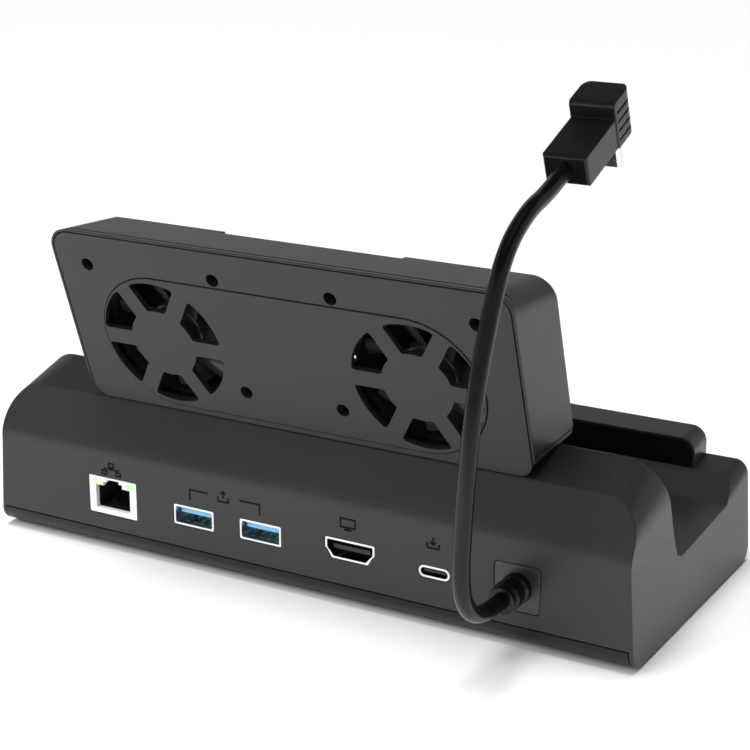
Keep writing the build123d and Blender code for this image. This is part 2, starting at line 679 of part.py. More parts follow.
def housing_shell():
    neck = [
        plain(*RIDGE_REAR),
        plain(RIDGE_REAR[0] - 4, RIDGE_REAR[1] + 12),
        plain(RIDGE_FRONT[0], REST_BOTTOM[1] + 4),
        plain(*RIDGE_FRONT),
    ]
    behind = Pos(0, 0, 10 - PANEL_THICKNESS) * Box(400, 200, 20)
    shell = rest_outside() - end_grooves()
    shell += side_view(neck, NECK_HALF_WIDTH) - behind
    centre = REST_THICKNESS - RECESS_DEPTH
    hollow = rest_outside(REST_WALL, 2 * REST_WALL)
    hollow -= Pos(0, 25, -centre - 5 + REST_WALL) * Box(
        2 * (RECESS_HALF_WIDTH + REST_WALL), 120, 10
    )
    floor = [
        plain(2.0, ridge(2.0) + REST_FLOOR),
        plain(2.0, 56.0),
        plain(RIDGE_FRONT[0] - 0.2, 56.0),
        plain(RIDGE_FRONT[0] - 0.2, ridge(RIDGE_FRONT[0] - 0.2) + REST_FLOOR),
    ]
    hollow += side_view(floor, NECK_HALF_WIDTH - REST_WALL)
    side = FAN_SIZE + 2 * FAN_PLAY
    middle = -FAN_REAR - FAN_DEPTH / 2
    for x in (-FAN_X, FAN_X):
        hollow += Pos(x, PLATE_CENTRE, middle) * Box(side, side, FAN_DEPTH + 2 * FAN_PLAY)
    shell -= hollow
    under = [
        plain(0.0, ridge(0.0)),
        plain(*RIDGE_FRONT),
        plain(*SLOT_WALL_FOOT),
        plain(0.0, 10.0),
    ]
    shell -= Pos(0, 25, -centre - 5) * Box(2 * RECESS_HALF_WIDTH, 120, 10)
    rebate = PANEL_RIM
    shell -= upright(
        REST_HALF_WIDTH - rebate,
        -REBATE_RUN_OUT,
        REST_HEIGHT - rebate,
        0,
        REST_CORNER_RADIUS - rebate,
        -PANEL_THICKNESS,
        5,
    )
    shell -= louvres()
    inside = rest_outside(0.3, 0.0)
    for x, y in housing_posts():
        bottom = -centre if abs(x) < RECESS_HALF_WIDTH else -REST_THICKNESS
        tall = peg(x, y, bottom + 0.3, -WELL_DEPTH - 0.1, WELL_RADIUS)
        shell += tall & inside
        bore = PANEL_SCREW_SHANK + BORE_CLEARANCE
        shell -= peg(x, y, -WELL_DEPTH - 7, -WELL_DEPTH + 2, bore)
    shell = REST * shell
    for x in REST_SCREW_X:
        axis = ridge_plane(x, REST_SCREW_V)
        shell += axis * Pos(0, 0, REST_BOSS_HEIGHT / 2) * Cylinder(REST_BOSS_RADIUS, REST_BOSS_HEIGHT)
        bore = Cylinder(REST_SCREW_SHANK + BORE_CLEARANCE, 2 * (REST_BOSS_HEIGHT - 1))
        shell -= axis * bore
    shell -= block((-LEAD_HOLE / 2, LEAD_HOLE / 2), LEAD_HOLE_V, (40, 50))
    shell -= REST * side_view(under, 100.0)
    save("housing_shell", shell)


def louvres():
    """The air slots in the recess of the housing's front, where the console draws its air."""
    slots = []
    for y in LOUVRE_HEIGHTS:
        slot = SlotOverall(2 * LOUVRE_HALF_LENGTH, LOUVRE_SLOT)
        place = Pos(0, y, -REST_THICKNESS - 1)
        slots.append(place * extrude(slot, amount=REST_WALL + RECESS_DEPTH + 1.5))
    return Compound(children=slots)


def end_grooves():
    """A fine groove in each end of the housing, just above its lower edge."""
    lift, width, depth = REST_GROOVE
    rear, front = rest_points()[3], rest_points()[2]
    lean = hypot(1, (rear[0] - front[0]) / REST_THICKNESS)
    band = [
        (rear[0] + lift * lean, 0.1),
        (front[0] + lift * lean, front[1] - 1),
        (front[0] + (lift + width) * lean, front[1] - 1),
        (rear[0] + (lift + width) * lean, 0.1),
    ]
    whole = side_view(band, REST_HALF_WIDTH + 1)
    return whole - side_view(band, REST_HALF_WIDTH - depth)


def back_rest_pads():
    x, half, y_from, y_to, thickness = REST_PAD
    pads = []
    for sign in (-1, 1):
        strip = RectangleRounded(2 * half, y_to - y_from, half - 0.1)
        place = Pos(sign * x, (y_from + y_to) / 2, -REST_THICKNESS - thickness)
        pads.append(REST * (place * extrude(strip, amount=thickness)))
    save("back_rest_pads", Compound(children=pads))


def rear_panel():
    edge = PANEL_RIM + PANEL_GAP
    half = REST_HALF_WIDTH - edge
    top = REST_HEIGHT - edge
    radius = REST_CORNER_RADIUS - edge
    panel = upright(half, PANEL_LOW, top, PANEL_LOWER_RADIUS, radius, -PANEL_THICKNESS, 0)
    for x, y in housing_posts():
        panel += peg(x, y, -WELL_DEPTH, -PANEL_THICKNESS + 0.5, WELL_RADIUS)
    for x, y in fan_holes():
        panel += peg(x, y, -FAN_REAR, -PANEL_THICKNESS + 0.5, FAN_POST)
        panel -= peg(x, y, -FAN_REAR - 1, -FAN_POST_FLOOR, FAN_SCREW_SHANK + BORE_CLEARANCE)
    seat = SlotOverall(2 * (PLATE_HALF_LENGTH + PLATE_GAP), PLATE_HEIGHT + 2 * PLATE_GAP)
    depth = PLATE_THICKNESS - PLATE_PROUD
    panel -= Pos(0, PLATE_CENTRE, -depth) * extrude(seat, amount=depth + 1)
    for x in (-FAN_X, FAN_X):
        panel -= peg(x, PLATE_CENTRE, -PANEL_THICKNESS - 1, 1, PANEL_BORE)
    for x, y in housing_posts():
        panel -= peg(x, y, -WELL_DEPTH + WELL_FLOOR, 1, PANEL_HOLE)
        panel -= peg(x, y, -WELL_DEPTH - 1, 1, PANEL_SCREW_SHANK + 0.2)
    save("rear_panel", REST * panel)


def fan_holes():
    """Places of the fans' screws."""
    half = FAN_HOLE_PITCH / 2
    places = []
    for fan in (-FAN_X, FAN_X):
        for dx in (-half, half):
            for dy in (-half, half):
                places.append((fan + dx, PLATE_CENTRE + dy))
    return places


def sector_opening():
    """One opening of the grille: between two spokes and two circles, its corners rounded."""
    half_angle = pi / OPENINGS
    side = SPOKE_WIDTH / 2
    inner = sqrt(OPENING_INNER**2 - side**2)
    outer = sqrt(OPENING_OUTER**2 - side**2)

    def turned(along, across, sign):
        return (
            along * cos(half_angle) + across * sin(half_angle),
            sign * (along * sin(half_angle) - across * cos(half_angle)),
        )

    low = [turned(inner, side, -1), turned(outer, side, -1)]
    high = [turned(outer, side, 1), turned(inner, side, 1)]
    edges = [
        Line(low[0], low[1]),
        ThreePointArc(low[1], (OPENING_OUTER, 0), high[0]),
        Line(high[0], high[1]),
        ThreePointArc(high[1], (OPENING_INNER, 0), low[0]),
    ]
    face = make_face(edges)
    return fillet(face.vertices(), OPENING_CORNER)


def grille_plate():
    plate = extrude(SlotOverall(2 * PLATE_HALF_LENGTH, PLATE_HEIGHT), amount=PLATE_THICKNESS)
    plate = Pos(0, PLATE_CENTRE, PLATE_PROUD - PLATE_THICKNESS) * plate
    plate = fillet(plate.faces().sort_by(Axis.Z)[-1].edges(), 0.2)
    opening = extrude(sector_opening(), amount=4 * PLATE_THICKNESS, both=True)
    for x in (-FAN_X, FAN_X):
        for number in range(OPENINGS):
            turn = 360 / OPENINGS * (number + 0.5)
            plate -= Pos(x, PLATE_CENTRE, 0) * Rot(0, 0, turn) * opening
    for x, y in housing_posts():
        if hypot(x, y - PLATE_CENTRE) < PLATE_HEIGHT / 2:
            plate -= peg(x, y, -5, 5, PANEL_HOLE)
    save("grille_plate", REST * plate)


def panel_screws():
    screws = []
    seat = -WELL_DEPTH + WELL_FLOOR
    for x, y in housing_posts():
        head = peg(x, y, seat, seat + 1.2, PANEL_SCREW_HEAD)
        head += peg(x, y, seat - 7.0, seat, PANEL_SCREW_SHANK)
        for turn in (0, 90):
            slot = Pos(x, y, seat + 1.0) * Rot(0, 0, turn) * Box(2.0, 0.5, 1.0)
            head -= slot
        screws.append(REST * head)
    save("panel_screws", Compound(children=screws))


def housing_screws():
    screws = []
    thickness = WALL
    for x in REST_SCREW_X:
        axis = ridge_plane(x, REST_SCREW_V)
        shank = Pos(0, 0, REST_SCREW_LENGTH / 2 - thickness)
        screw = axis * shank * Cylinder(REST_SCREW_SHANK, REST_SCREW_LENGTH)
        screw += axis * Pos(0, 0, -thickness - 0.6) * Cylinder(REST_SCREW_HEAD, 1.2)
        screws.append(screw)
    save("housing_screws", Compound(children=screws))


# ---------------------------------------------------------------- fans
def fan_place(x):
    """The frame of one fan: its origin on the axis at the level of the frame's rear face."""
    return REST * Pos(x, PLATE_CENTRE, -FAN_REAR)


def fan_frame(number, x):
    half = FAN_SIZE / 2
    frame = extrude(RectangleRounded(FAN_SIZE, FAN_SIZE, FAN_CORNER), amount=-FAN_DEPTH)
    frame -= peg(0, 0, -FAN_DEPTH - 1, 1, FAN_BORE)
    hub = -FAN_DEPTH + MOTOR_BASE_THICKNESS
    for number_of_strut in range(STRUTS):
        turn = 45 + 360 / STRUTS * number_of_strut
        reach = FAN_BORE + 1
        strut = Pos(reach / 2, 0, hub - MOTOR_BASE_THICKNESS / 2)
        frame += Rot(0, 0, turn) * strut * Box(reach, STRUT_WIDTH, MOTOR_BASE_THICKNESS)
    frame += peg(0, 0, -FAN_DEPTH, hub, MOTOR_BASE)
    frame += peg(0, 0, -FAN_DEPTH, BEARING_TOP, BEARING_POST)
    frame -= peg(0, 0, -FAN_DEPTH + 0.8, 0, BEARING_RADIUS)
    pitch = FAN_HOLE_PITCH / 2
    for dx in (-pitch, pitch):
        for dy in (-pitch, pitch):
            frame -= peg(dx, dy, -FAN_DEPTH - 1, 1, FAN_HOLE)
    save(f"fan_frame_{number}", fan_place(x) * frame)


def blade_section(radius, chord, pitch, turn):
    """One end of a blade: a thin curved strip on a plane that faces along the radius."""
    angle = radians(turn)
    outward = (cos(angle), sin(angle), 0)
    plane = Plane(
        origin=(radius * outward[0], radius * outward[1], HUB_MIDDLE),
        x_dir=(-outward[1], outward[0], 0),
        z_dir=outward,
    )
    camber = chord * BLADE_CAMBER
    half = chord / 2
    thin = BLADE_THICKNESS / 2
    edges = [
        ThreePointArc((-half, thin), (0, camber + thin), (half, thin)),
        Line((half, thin), (half, -thin)),
        ThreePointArc((half, -thin), (0, camber - thin), (-half, -thin)),
        Line((-half, -thin), (-half, thin)),
    ]
    return plane * Rot(0, 0, -pitch) * make_face(edges)


def fan_rotor(number, x):
    top = -HUB_TOP
    low = top - HUB_DEPTH
    root = blade_section(HUB_RADIUS - HUB_WALL / 2, BLADE_ROOT_CHORD, BLADE_ROOT_PITCH, 0)
    tip = blade_section(BLADE_TIP + 1, BLADE_TIP_CHORD, BLADE_TIP_PITCH, BLADE_SWEEP)
    blade = loft([root, tip], ruled=True)
    blade &= peg(0, 0, low - 2, top + 2, BLADE_TIP)
    cup = peg(0, 0, low, top, HUB_RADIUS)
    cup = fillet(cup.edges().group_by(Axis.Z)[-1], 0.8)
    rotor = cup
    for blade_number in range(BLADES):
        rotor += Rot(0, 0, 360 / BLADES * blade_number) * blade
    rotor -= peg(0, 0, low - 3, top - HUB_WALL, HUB_RADIUS - HUB_WALL)
    rotor += peg(0, 0, BEARING_TOP + 0.3, top - HUB_WALL / 2, SHAFT_BOSS)
    rotor -= peg(0, 0, low - 3, top - HUB_WALL, SHAFT_RADIUS)
    save(f"fan_rotor_{number}", fan_place(x) * rotor)
    shaft = peg(0, 0, -FAN_DEPTH + 1.0, top - HUB_WALL, SHAFT_RADIUS)
    save(f"fan_shaft_{number}", fan_place(x) * shaft)
    ring = HUB_RADIUS - HUB_WALL
    magnet = peg(0, 0, low + 0.3, top - HUB_WALL - 0.3, ring)
    magnet -= peg(0, 0, low - 3, top, ring - MAGNET_THICKNESS)
    save(f"fan_magnet_{number}", fan_place(x) * magnet)


def fan_motor(number, x):
    bush = peg(0, 0, -FAN_DEPTH + 0.8, BEARING_TOP, BEARING_RADIUS)
    bush -= peg(0, 0, -FAN_DEPTH - 1, 1, SHAFT_RADIUS + SHAFT_CLEARANCE)
    save(f"fan_bearing_{number}", fan_place(x) * bush)
    seat = -FAN_DEPTH + MOTOR_BASE_THICKNESS
    core = peg(0, 0, seat, BEARING_TOP - 0.4, BEARING_POST + 0.8)
    shoe = peg(0, 0, seat + 1.0, BEARING_TOP - 0.8, STATOR_RADIUS)
    shoe -= peg(0, 0, seat, 0, STATOR_RADIUS - 0.9)
    for pole in range(STATOR_POLES):
        turn = 360 / STATOR_POLES * pole
        arm = Pos(STATOR_RADIUS / 2, 0, (seat + BEARING_TOP) / 2)
        core += Rot(0, 0, turn) * arm * Box(STATOR_RADIUS - 1, 2.0, 2.0)
        gap = Pos(STATOR_RADIUS, 0, seat + 3) * Box(4, 1.2, 20)
        shoe -= Rot(0, 0, turn + 180 / STATOR_POLES) * gap
    stator = core + shoe - peg(0, 0, -FAN_DEPTH - 1, 1, BEARING_POST)
    save(f"fan_stator_{number}", fan_place(x) * stator)


def fan_screws():
    screws = []
    low = -FAN_REAR - FAN_DEPTH
    for x, y in fan_holes():
        screw = peg(x, y, low - FAN_SCREW_HEAD_HEIGHT, low, FAN_SCREW_HEAD)
        screw += peg(x, y, low, -FAN_POST_FLOOR - 0.3, FAN_SCREW_SHANK)
        screws.append(REST * screw)
    save("fan_screws", Compound(children=screws))


def tube(points, radii, radius):
    """A round tube along straight runs joined by arcs."""
    path = FilletPolyline(*points, radius=radii)
    section = Plane(origin=path @ 0, z_dir=path % 0) * Circle(radius)
    return sweep(section, path=path)


def fan_leads():
    leads = []
    v = sum(LEAD_HOLE_V) / 2
    for sign in (-1, 1):
        depth = -FAN_DEPTH - LEAD_RADIUS - 0.1
        start = fan_place(sign * FAN_X) * Pos(-sign * (MOTOR_BASE - 1.2), 0, depth)
        inner = REST * Pos(sign * LEAD_SIDE, PLATE_CENTRE - 3.0, -FAN_REAR + depth)
        x = -sign * LEAD_SIDE
        points = [
            tuple(start.position),
            tuple(inner.position),
            (x, back(v), up(RIDGE_FRONT[1] + 2.0)),
            (x, back(v), up(30.0)),
            (x * FAN_PLUG_X / LEAD_SIDE, back(FAN_PLUG_V), up(24.0)),
            (x * FAN_PLUG_X / LEAD_SIDE, back(FAN_PLUG_V), up(BOARD_TOP + FAN_PLUG_HEIGHT)),
        ]
        leads.append(tube(points, [3.0, 3.0, 4.0, 2.5], LEAD_RADIUS))
    save("fan_leads", Compound(children=leads))


# ---------------------------------------------------------------- board and what is on it
def main_board():
    board = block(BOARD_X, BOARD_V, (BOARD_TOP - BOARD_THICKNESS, BOARD_TOP))
    board = fillet(board.edges().filter_by(Axis.Z), 1.5)
    half = NETWORK_SIZE[0] / 2 + 0.3
    x = NETWORK_JACK[0]
    depth = NETWORK_SIZE[2] + 0.3
    board -= block((x - half, x + half), (0, depth), (0, 30))
    for place_x, v in BOARD_SCREWS:
        board -= post(place_x, v, 0, 30, BOARD_SCREW_SHANK + 0.2)
    save("main_board", board)


def board_screws():
    screws = []
    low = BOARD_TOP - BOARD_THICKNESS
    for x, v in BOARD_SCREWS:
        head = post(x, v, low - 1.4, low, BOARD_SCREW_HEAD)
        shank = post(x, v, low, low + BOARD_SCREW_LENGTH, BOARD_SCREW_SHANK)
        slot = post(x, v, low - 2, low - 0.7, 0.7)
        screws.append(head + shank - slot)
    save("board_screws", Compound(children=screws))


def on_board(x, v, width, depth, height):
    """A flat piece standing on the board."""
    return block((x - width / 2, x + width / 2), (v - depth / 2, v + depth / 2),
                 (BOARD_TOP, BOARD_TOP + height))


def board_parts():
    chips = [on_board(*chip, CHIP_HEIGHT) for chip in CHIPS]
    save("board_chips", Compound(children=chips))
    cans = [post(x, v, BOARD_TOP, BOARD_TOP + CAN_HEIGHT, CAN_RADIUS) for x, v in CANS]
    coils = [on_board(x, v, 5.0, 5.0, 2.8) for x, v in COILS]
    save("board_capacitors", Compound(children=cans + coils))
    (x_from, x_to), (v_from, v_to), thickness = SPREADER
    low = BOARD_TOP + CHIP_HEIGHT
    save("heat_spreader", block((x_from, x_to), (v_from, v_to), (low, low + thickness)))
    places = (-FAN_PLUG_X, FAN_PLUG_X)
    plugs = [on_board(x, FAN_PLUG_V, 6.0, 4.0, FAN_PLUG_HEIGHT) for x in places]
    x, v, _ = TAIL_END
    plugs.append(on_board(x, v, 6.0, 7.0, LEAD_HEIGHT - BOARD_TOP + CORD_DIAMETER / 2 + 0.5))
    save("board_connectors", Compound(children=plugs))


# ---------------------------------------------------------------- sockets
def jack_legs(x, w_low, width, depth):
    """Two feet that stand a socket's shell on the board."""
    legs = []
    for sign in (-1, 1):
        centre = x + sign * (width / 2 - 2.6)
        room = (centre - 0.5, centre + 0.5)
        legs.append(block(room, (depth - 4, depth - 1), (BOARD_TOP, w_low + 0.2)))
    return legs


def jack_shell(name, place, size, corner):
    """A folded metal shell, open to the rear of the stand and closed at its inner end."""
    x, w = place
    width, height, depth = size
    outside = along_depth(jack_outline(width, height, corner), x, w, JACK_SET_BACK, depth)
    metal = 2 * SHELL_METAL
    inside = jack_outline(width - metal, height - metal, corner)
    lip, lip_depth = JACK_LIP
    mouth = jack_outline(width - 2 * lip, height - 2 * lip, corner)
    hollow = along_depth(inside, x, w, lip_depth, depth - SHELL_METAL)
    hollow += along_depth(mouth, x, w, -1, lip_depth + 1)
    shell = outside - hollow
    for leg in jack_legs(x, w - height / 2, width, depth):
        shell += leg
    save(name, shell - hollow)


def network_shield():
    """The network jack's metal sleeve, behind the face, with a tab on each side for the board."""
    x, w = NETWORK_JACK
    width, height, depth = NETWORK_SIZE
    front = JACK_SET_BACK + NETWORK_FLANGE
    outside = along_depth(jack_outline(width, height, 0.4), x, w, front, depth)
    metal = 2 * SHELL_METAL
    inside = jack_outline(width - metal, height - metal, 0.4)
    shield = outside
    for sign in (-1, 1):
        side = x + sign * (width / 2 + 0.8)
        room = (side - 0.9, side + 0.9)
        shield += block(room, (depth - 8, depth - 4), (BOARD_TOP, BOARD_TOP + 0.4))
    save("rj45_shield", shield - along_depth(inside, x, w, 0, depth - SHELL_METAL))


def network_body():
    x, w = NETWORK_JACK
    front = JACK_SET_BACK
    width, height, depth = (side - 2 * SHELL_METAL - 0.1 for side in NETWORK_SIZE)
    body = along_depth(jack_outline(width, height, 0.4), x, w, front, depth)
    face = jack_outline(NETWORK_SIZE[0], NETWORK_SIZE[1], 0.4)
    body += along_depth(face, x, w, front, front + NETWORK_FLANGE)
    low = w - height / 2 + NETWORK_FLOOR
    for half, top in NETWORK_STEPS:
        body -= block((x - half, x + half), (-1, NETWORK_REACH), (low, low + top))
    lights = []
    for sign in (-1, 1):
        centre = x + sign * NETWORK_LIGHT[0]
        upper = w + height / 2 - 0.4
        room = (centre - NETWORK_LIGHT[1] / 2, centre + NETWORK_LIGHT[1] / 2)
        window = block(room, (front, 4.0), (upper - NETWORK_LIGHT[2], upper))
        body -= window
        lights.append(window)
    save("rj45_leds", Compound(children=lights))
    save("rj45_body", body)
    wires = []
    for number in range(NETWORK_WIRES):
        at = x + (number - (NETWORK_WIRES - 1) / 2) * NETWORK_PITCH
        bars = [
            (NETWORK_REACH, low),
            (4.0, low),
            (3.6, low + 0.35),
            (NETWORK_REACH - 1.5, low + 3.2),
            (NETWORK_REACH - 1.2, low + 3.0),
            (4.6, low + 0.35),
            (NETWORK_REACH, low + 0.35),
        ]
        wires.append(carried(bars, at - 0.2, at + 0.2))
    save("rj45_contacts", Compound(children=wires))


def other_jacks():
    for number, place in enumerate(USB_A_JACKS, 1):
        jack_shell(f"usb_a_shell_{number}", place, USB_A_SIZE, 0.5)
        x, w = place
        top = USB_A_SIZE[1] / 2 - SHELL_METAL
        room = (w + top - 0.45 - 2.1, w + top - 0.45)
        blade = block((x - 5.6, x + 5.6), (TONGUE_SET_BACK, 10.0), room)
        root = block((x - 5.9, x + 5.9), (10.0, 13.2), (w - top + 0.05, w + top - 0.05))
        save(f"usb_a_tongue_{number}", blade + root)
    jack_shell("hdmi_shell", HDMI_JACK, HDMI_SIZE, "hdmi")
    x, w = HDMI_JACK
    blade = block((x - 5.6, x + 5.6), (1.4, 8.6), (w - 0.5, w + 0.7))
    root = along_depth(jack_outline(HDMI_SIZE[0] - 0.8, HDMI_SIZE[1] - 0.8, "hdmi"), x, w, 8.6, 11.0)
    save("hdmi_tongue", blade + root)
    jack_shell("usb_c_shell", USB_C_JACK, USB_C_SIZE, "stadium")
    x, w = USB_C_JACK
    blade = block((x - 3.35, x + 3.35), (0.9, 5.4), (w - 0.35, w + 0.35))
    inner = (USB_C_SIZE[0] - 0.8, USB_C_SIZE[1] - 0.8)
    root = along_depth(jack_outline(*inner, "stadium"), x, w, 5.4, 7.5)
    save("usb_c_tongue", blade + root)


# ---------------------------------------------------------------- captive lead
def gland_and_boot():
    face = RectangleRounded(GLAND_SIZE, GLAND_SIZE, GLAND_CORNER)
    plate = along_depth(face, LEAD_X, LEAD_HEIGHT, 0.0, WALL + 1.4)
    flange = RectangleRounded(GLAND_FLANGE, GLAND_FLANGE, GLAND_CORNER)
    plate += along_depth(flange, LEAD_X, LEAD_HEIGHT, WALL, WALL + 1.4)
    plate -= along_depth(Circle(BOOT_NECK), LEAD_X, LEAD_HEIGHT, -1, WALL + 3)
    save("cable_gland_plate", plate)
    step = BOOT_LENGTH / (2 * BOOT_RINGS + 1)
    boot = None
    for number in range(2 * BOOT_RINGS + 1):
        share = number / (2 * BOOT_RINGS)
        radius = BOOT_ROOT_RADIUS + (BOOT_TIP_RADIUS - BOOT_ROOT_RADIUS) * share
        if number % 2:
            radius -= BOOT_GROOVE
        start = -number * step
        ring = along_depth(Circle(radius), LEAD_X, LEAD_HEIGHT, start - step, start)
        boot = ring if boot is None else boot + ring
    inner = WALL + 1.4
    boot += along_depth(Circle(BOOT_NECK), LEAD_X, LEAD_HEIGHT, 0, inner)
    boot += along_depth(Circle(BOOT_ROOT_RADIUS), LEAD_X, LEAD_HEIGHT, inner, inner + 1.5)
    bore = Circle(CORD_DIAMETER / 2 + BORE_CLEARANCE)
    boot -= along_depth(bore, LEAD_X, LEAD_HEIGHT, -BOOT_LENGTH - 1, inner + 3)
    save("strain_relief_boot", boot)


def lead_inside():
    """The part of the lead that is held: through the boot and on to the board."""
    x, v, bend = TAIL_END
    points = [
        (LEAD_X, back(-BOOT_LENGTH), up(LEAD_HEIGHT)),
        (LEAD_X, back(v), up(LEAD_HEIGHT)),
        (x - 3.0, back(v), up(LEAD_HEIGHT)),
    ]
    save("cable_tail", tube(points, [bend], CORD_DIAMETER / 2))


def cord_points():
    """The route's points from the boot's tip to the plug, in part coordinates."""
    route = [(-BOOT_LENGTH, LEAD_HEIGHT), *ROUTE, PLUG_PLACE]
    return [Vector(LEAD_X, back(v), up(w)) for v, w in route]


def cord():
    points = cord_points()
    runs = [b - a for a, b in zip(points, points[1:])]
    radii = []
    for first, second in zip(runs, runs[1:]):
        half_turn = radians(first.get_angle(second)) / 2
        radii.append(0.45 * min(first.length, second.length) / tan(half_turn))
    path = FilletPolyline(*[tuple(point) for point in points], radius=radii)
    solid = tube([tuple(point) for point in points], radii, CORD_DIAMETER / 2)
    ideal = pi * CORD_DIAMETER**2 / 4 * path.length
    print("cord radii", [round(radius, 1) for radius in radii])
    print("cord runs", [round(run.length, 1) for run in runs])
    print("cord length", round(path.length, 1), "volume", round(solid.volume), round(ideal))
    save("cord", solid)


# The plug's own frame: x along its length from the cord, y up across it and z to the other side.
PLUG = Plane(
    origin=(LEAD_X, back(PLUG_PLACE[0]), up(PLUG_PLACE[1])),
    x_dir=(0, -cos(radians(PLUG_TILT)), sin(radians(PLUG_TILT))),
    z_dir=(-1, 0, 0),
)


def plug_part(x_from, x_to, low, high, width, radii):
    """A block of the plug: its side view has radii of its own, its plan the plug's corners."""
    side = [(x_from, low), (x_from, high), (x_to, high), (x_to, low)]
    outline = FilletPolyline(*side, radius=radii, close=True)
    return extrude(make_face(outline), amount=width / 2, both=True)


def plug_plan(x_from, x_to, width, near, far):
    """The plan of the plug between two lengths, carried across its whole height."""
    half = width / 2
    plan = [(x_from, -half), (x_to, -half), (x_to, half), (x_from, half)]
    corners = [(x, -20, z) for x, z in plan]
    face = make_face(FilletPolyline(*corners, radius=[near, far, far, near], close=True))
    return extrude(face, amount=40, dir=(0, 1, 0))


def plug():
    edge = PLUG_EDGE
    grip = plug_part(0, PLUG_LENGTH - 2, PLUG_BOTTOM, PLUG_TOP, PLUG_WIDTH, [edge] * 4)
    grip &= plug_plan(0, PLUG_LENGTH - 2, PLUG_WIDTH, edge, PLUG_CORNER)
    radii = [0.3, 1.2, edge, edge]
    head = plug_part(
        PLUG_BLOCK, PLUG_LENGTH, PLUG_HEAD_BOTTOM, PLUG_HEAD_TOP, PLUG_HEAD_WIDTH, radii
    )
    head &= plug_plan(PLUG_BLOCK, PLUG_LENGTH, PLUG_HEAD_WIDTH, 0.3, PLUG_CORNER)
    groove, cut = PLUG_GROOVE
    core = plug_plan(0, PLUG_LENGTH - cut, PLUG_HEAD_WIDTH - 2 * cut, 0.1, PLUG_CORNER - cut)
    for y in PLUG_GROOVES:
        band = Pos(PLUG_BLOCK + 0.9 + 10, y, 0) * Box(20, groove, 20)
        head -= band - core
    body = grip + head
    width, thickness = TIP_SIZE
    tip_face = RectangleRounded(thickness, width, thickness / 2 - 0.01)
    low = PLUG_HEAD_BOTTOM - TIP_LENGTH
    down = Plane(origin=(TIP_PLACE, low, 0), x_dir=(1, 0, 0), z_dir=(0, 1, 0))
    metal = extrude(down * tip_face, amount=TIP_LENGTH + TIP_ROOT)
    sheet = 2 * SHELL_METAL
    hole = RectangleRounded(thickness - sheet, width - sheet, (thickness - sheet) / 2 - 0.01)
    hollow = extrude(down * hole, amount=TIP_LENGTH + TIP_ROOT - SHELL_METAL)
    body -= metal
    contacts = extrude(down * Pos(0, 0, 0.6) * hole, amount=TIP_LENGTH - 0.9)
    contacts -= extrude(down * Rectangle(0.8, width - 1.6), amount=TIP_LENGTH - 1.5)
    save("plug_shell", PLUG * (metal - hollow))
    save("plug_contacts", PLUG * contacts)
    save("plug_housing", PLUG * body)


def build():
    os.makedirs("parts", exist_ok=True)
    base_shell()
    bottom_cover()
    rubber_feet()
    base_screws()
    front_stop()
    slot_floor_pad()
    housing_shell()
    back_rest_pads()
    rear_panel()
    grille_plate()
    panel_screws()
    housing_screws()
    for number, x in enumerate((-FAN_X, FAN_X), 1):
        fan_frame(number, x)
        fan_rotor(number, x)
        fan_motor(number, x)
    fan_screws()
    fan_leads()
    main_board()
    board_screws()
    board_parts()
    network_shield()
    network_body()
    other_jacks()
    gland_and_boot()
    lead_inside()
    cord()
    plug()
    for name, volume in written.items():
        print(name, round(volume, 1))


build()
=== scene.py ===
# %% [markdown]
# # A docking stand with two fans and a captive lead
# A handheld console stands in this dock. We look at it from behind, where its sockets, its fan
# grille and its own plug lead are. The shapes that carry load come ready made from CAD, and this
# lesson adds what CAD leaves out: the surfaces of moulded plastic, rubber, nickel and gold, the
# soft line of the lead, the ribs of its sleeve, the printed signs and the contacts in the sockets.

# %% The fixed frame
import math
import bmesh
import bpy
import numpy as np
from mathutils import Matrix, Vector


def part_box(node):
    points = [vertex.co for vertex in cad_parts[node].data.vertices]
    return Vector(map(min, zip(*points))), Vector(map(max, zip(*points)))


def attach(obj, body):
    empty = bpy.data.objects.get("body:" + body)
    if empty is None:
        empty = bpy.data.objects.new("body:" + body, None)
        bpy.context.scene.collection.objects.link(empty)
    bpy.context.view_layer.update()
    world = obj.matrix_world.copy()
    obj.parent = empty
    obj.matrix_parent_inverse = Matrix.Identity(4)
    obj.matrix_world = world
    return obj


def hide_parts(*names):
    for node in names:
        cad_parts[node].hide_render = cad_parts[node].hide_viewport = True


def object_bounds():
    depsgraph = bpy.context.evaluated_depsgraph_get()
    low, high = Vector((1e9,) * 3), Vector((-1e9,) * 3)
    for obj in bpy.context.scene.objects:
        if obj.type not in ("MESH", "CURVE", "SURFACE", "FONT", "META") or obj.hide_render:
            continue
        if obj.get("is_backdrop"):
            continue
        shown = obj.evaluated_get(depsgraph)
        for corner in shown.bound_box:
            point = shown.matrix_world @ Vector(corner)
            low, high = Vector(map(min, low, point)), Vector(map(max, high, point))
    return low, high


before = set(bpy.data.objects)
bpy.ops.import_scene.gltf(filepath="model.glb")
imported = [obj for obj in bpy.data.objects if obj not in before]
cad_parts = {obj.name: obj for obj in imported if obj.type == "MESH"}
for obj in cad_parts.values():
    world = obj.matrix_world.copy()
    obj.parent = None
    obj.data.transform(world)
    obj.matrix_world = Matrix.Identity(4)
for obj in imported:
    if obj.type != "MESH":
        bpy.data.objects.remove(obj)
cad_low, cad_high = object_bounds()
MM = 0.001

# %% [markdown]
# ## Places that the other cells need
# Every piece goes where the CAD says, so we read a few places once: the rear wall and the underside,
# and `middle` gives the centre of a node's box. `back` and `up` turn the maker's own measures, depth
# forward of the rear wall and height above the underside, into the frame's Y and Z.

# %% Read places from the frame
REAR_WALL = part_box("base_shell")[1].y
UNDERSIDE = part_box("bottom_cover")[0].z
TILT = math.radians(18.5)


def middle(name):
    """The centre of a node's box."""
    low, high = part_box(name)
    return (low + high) / 2


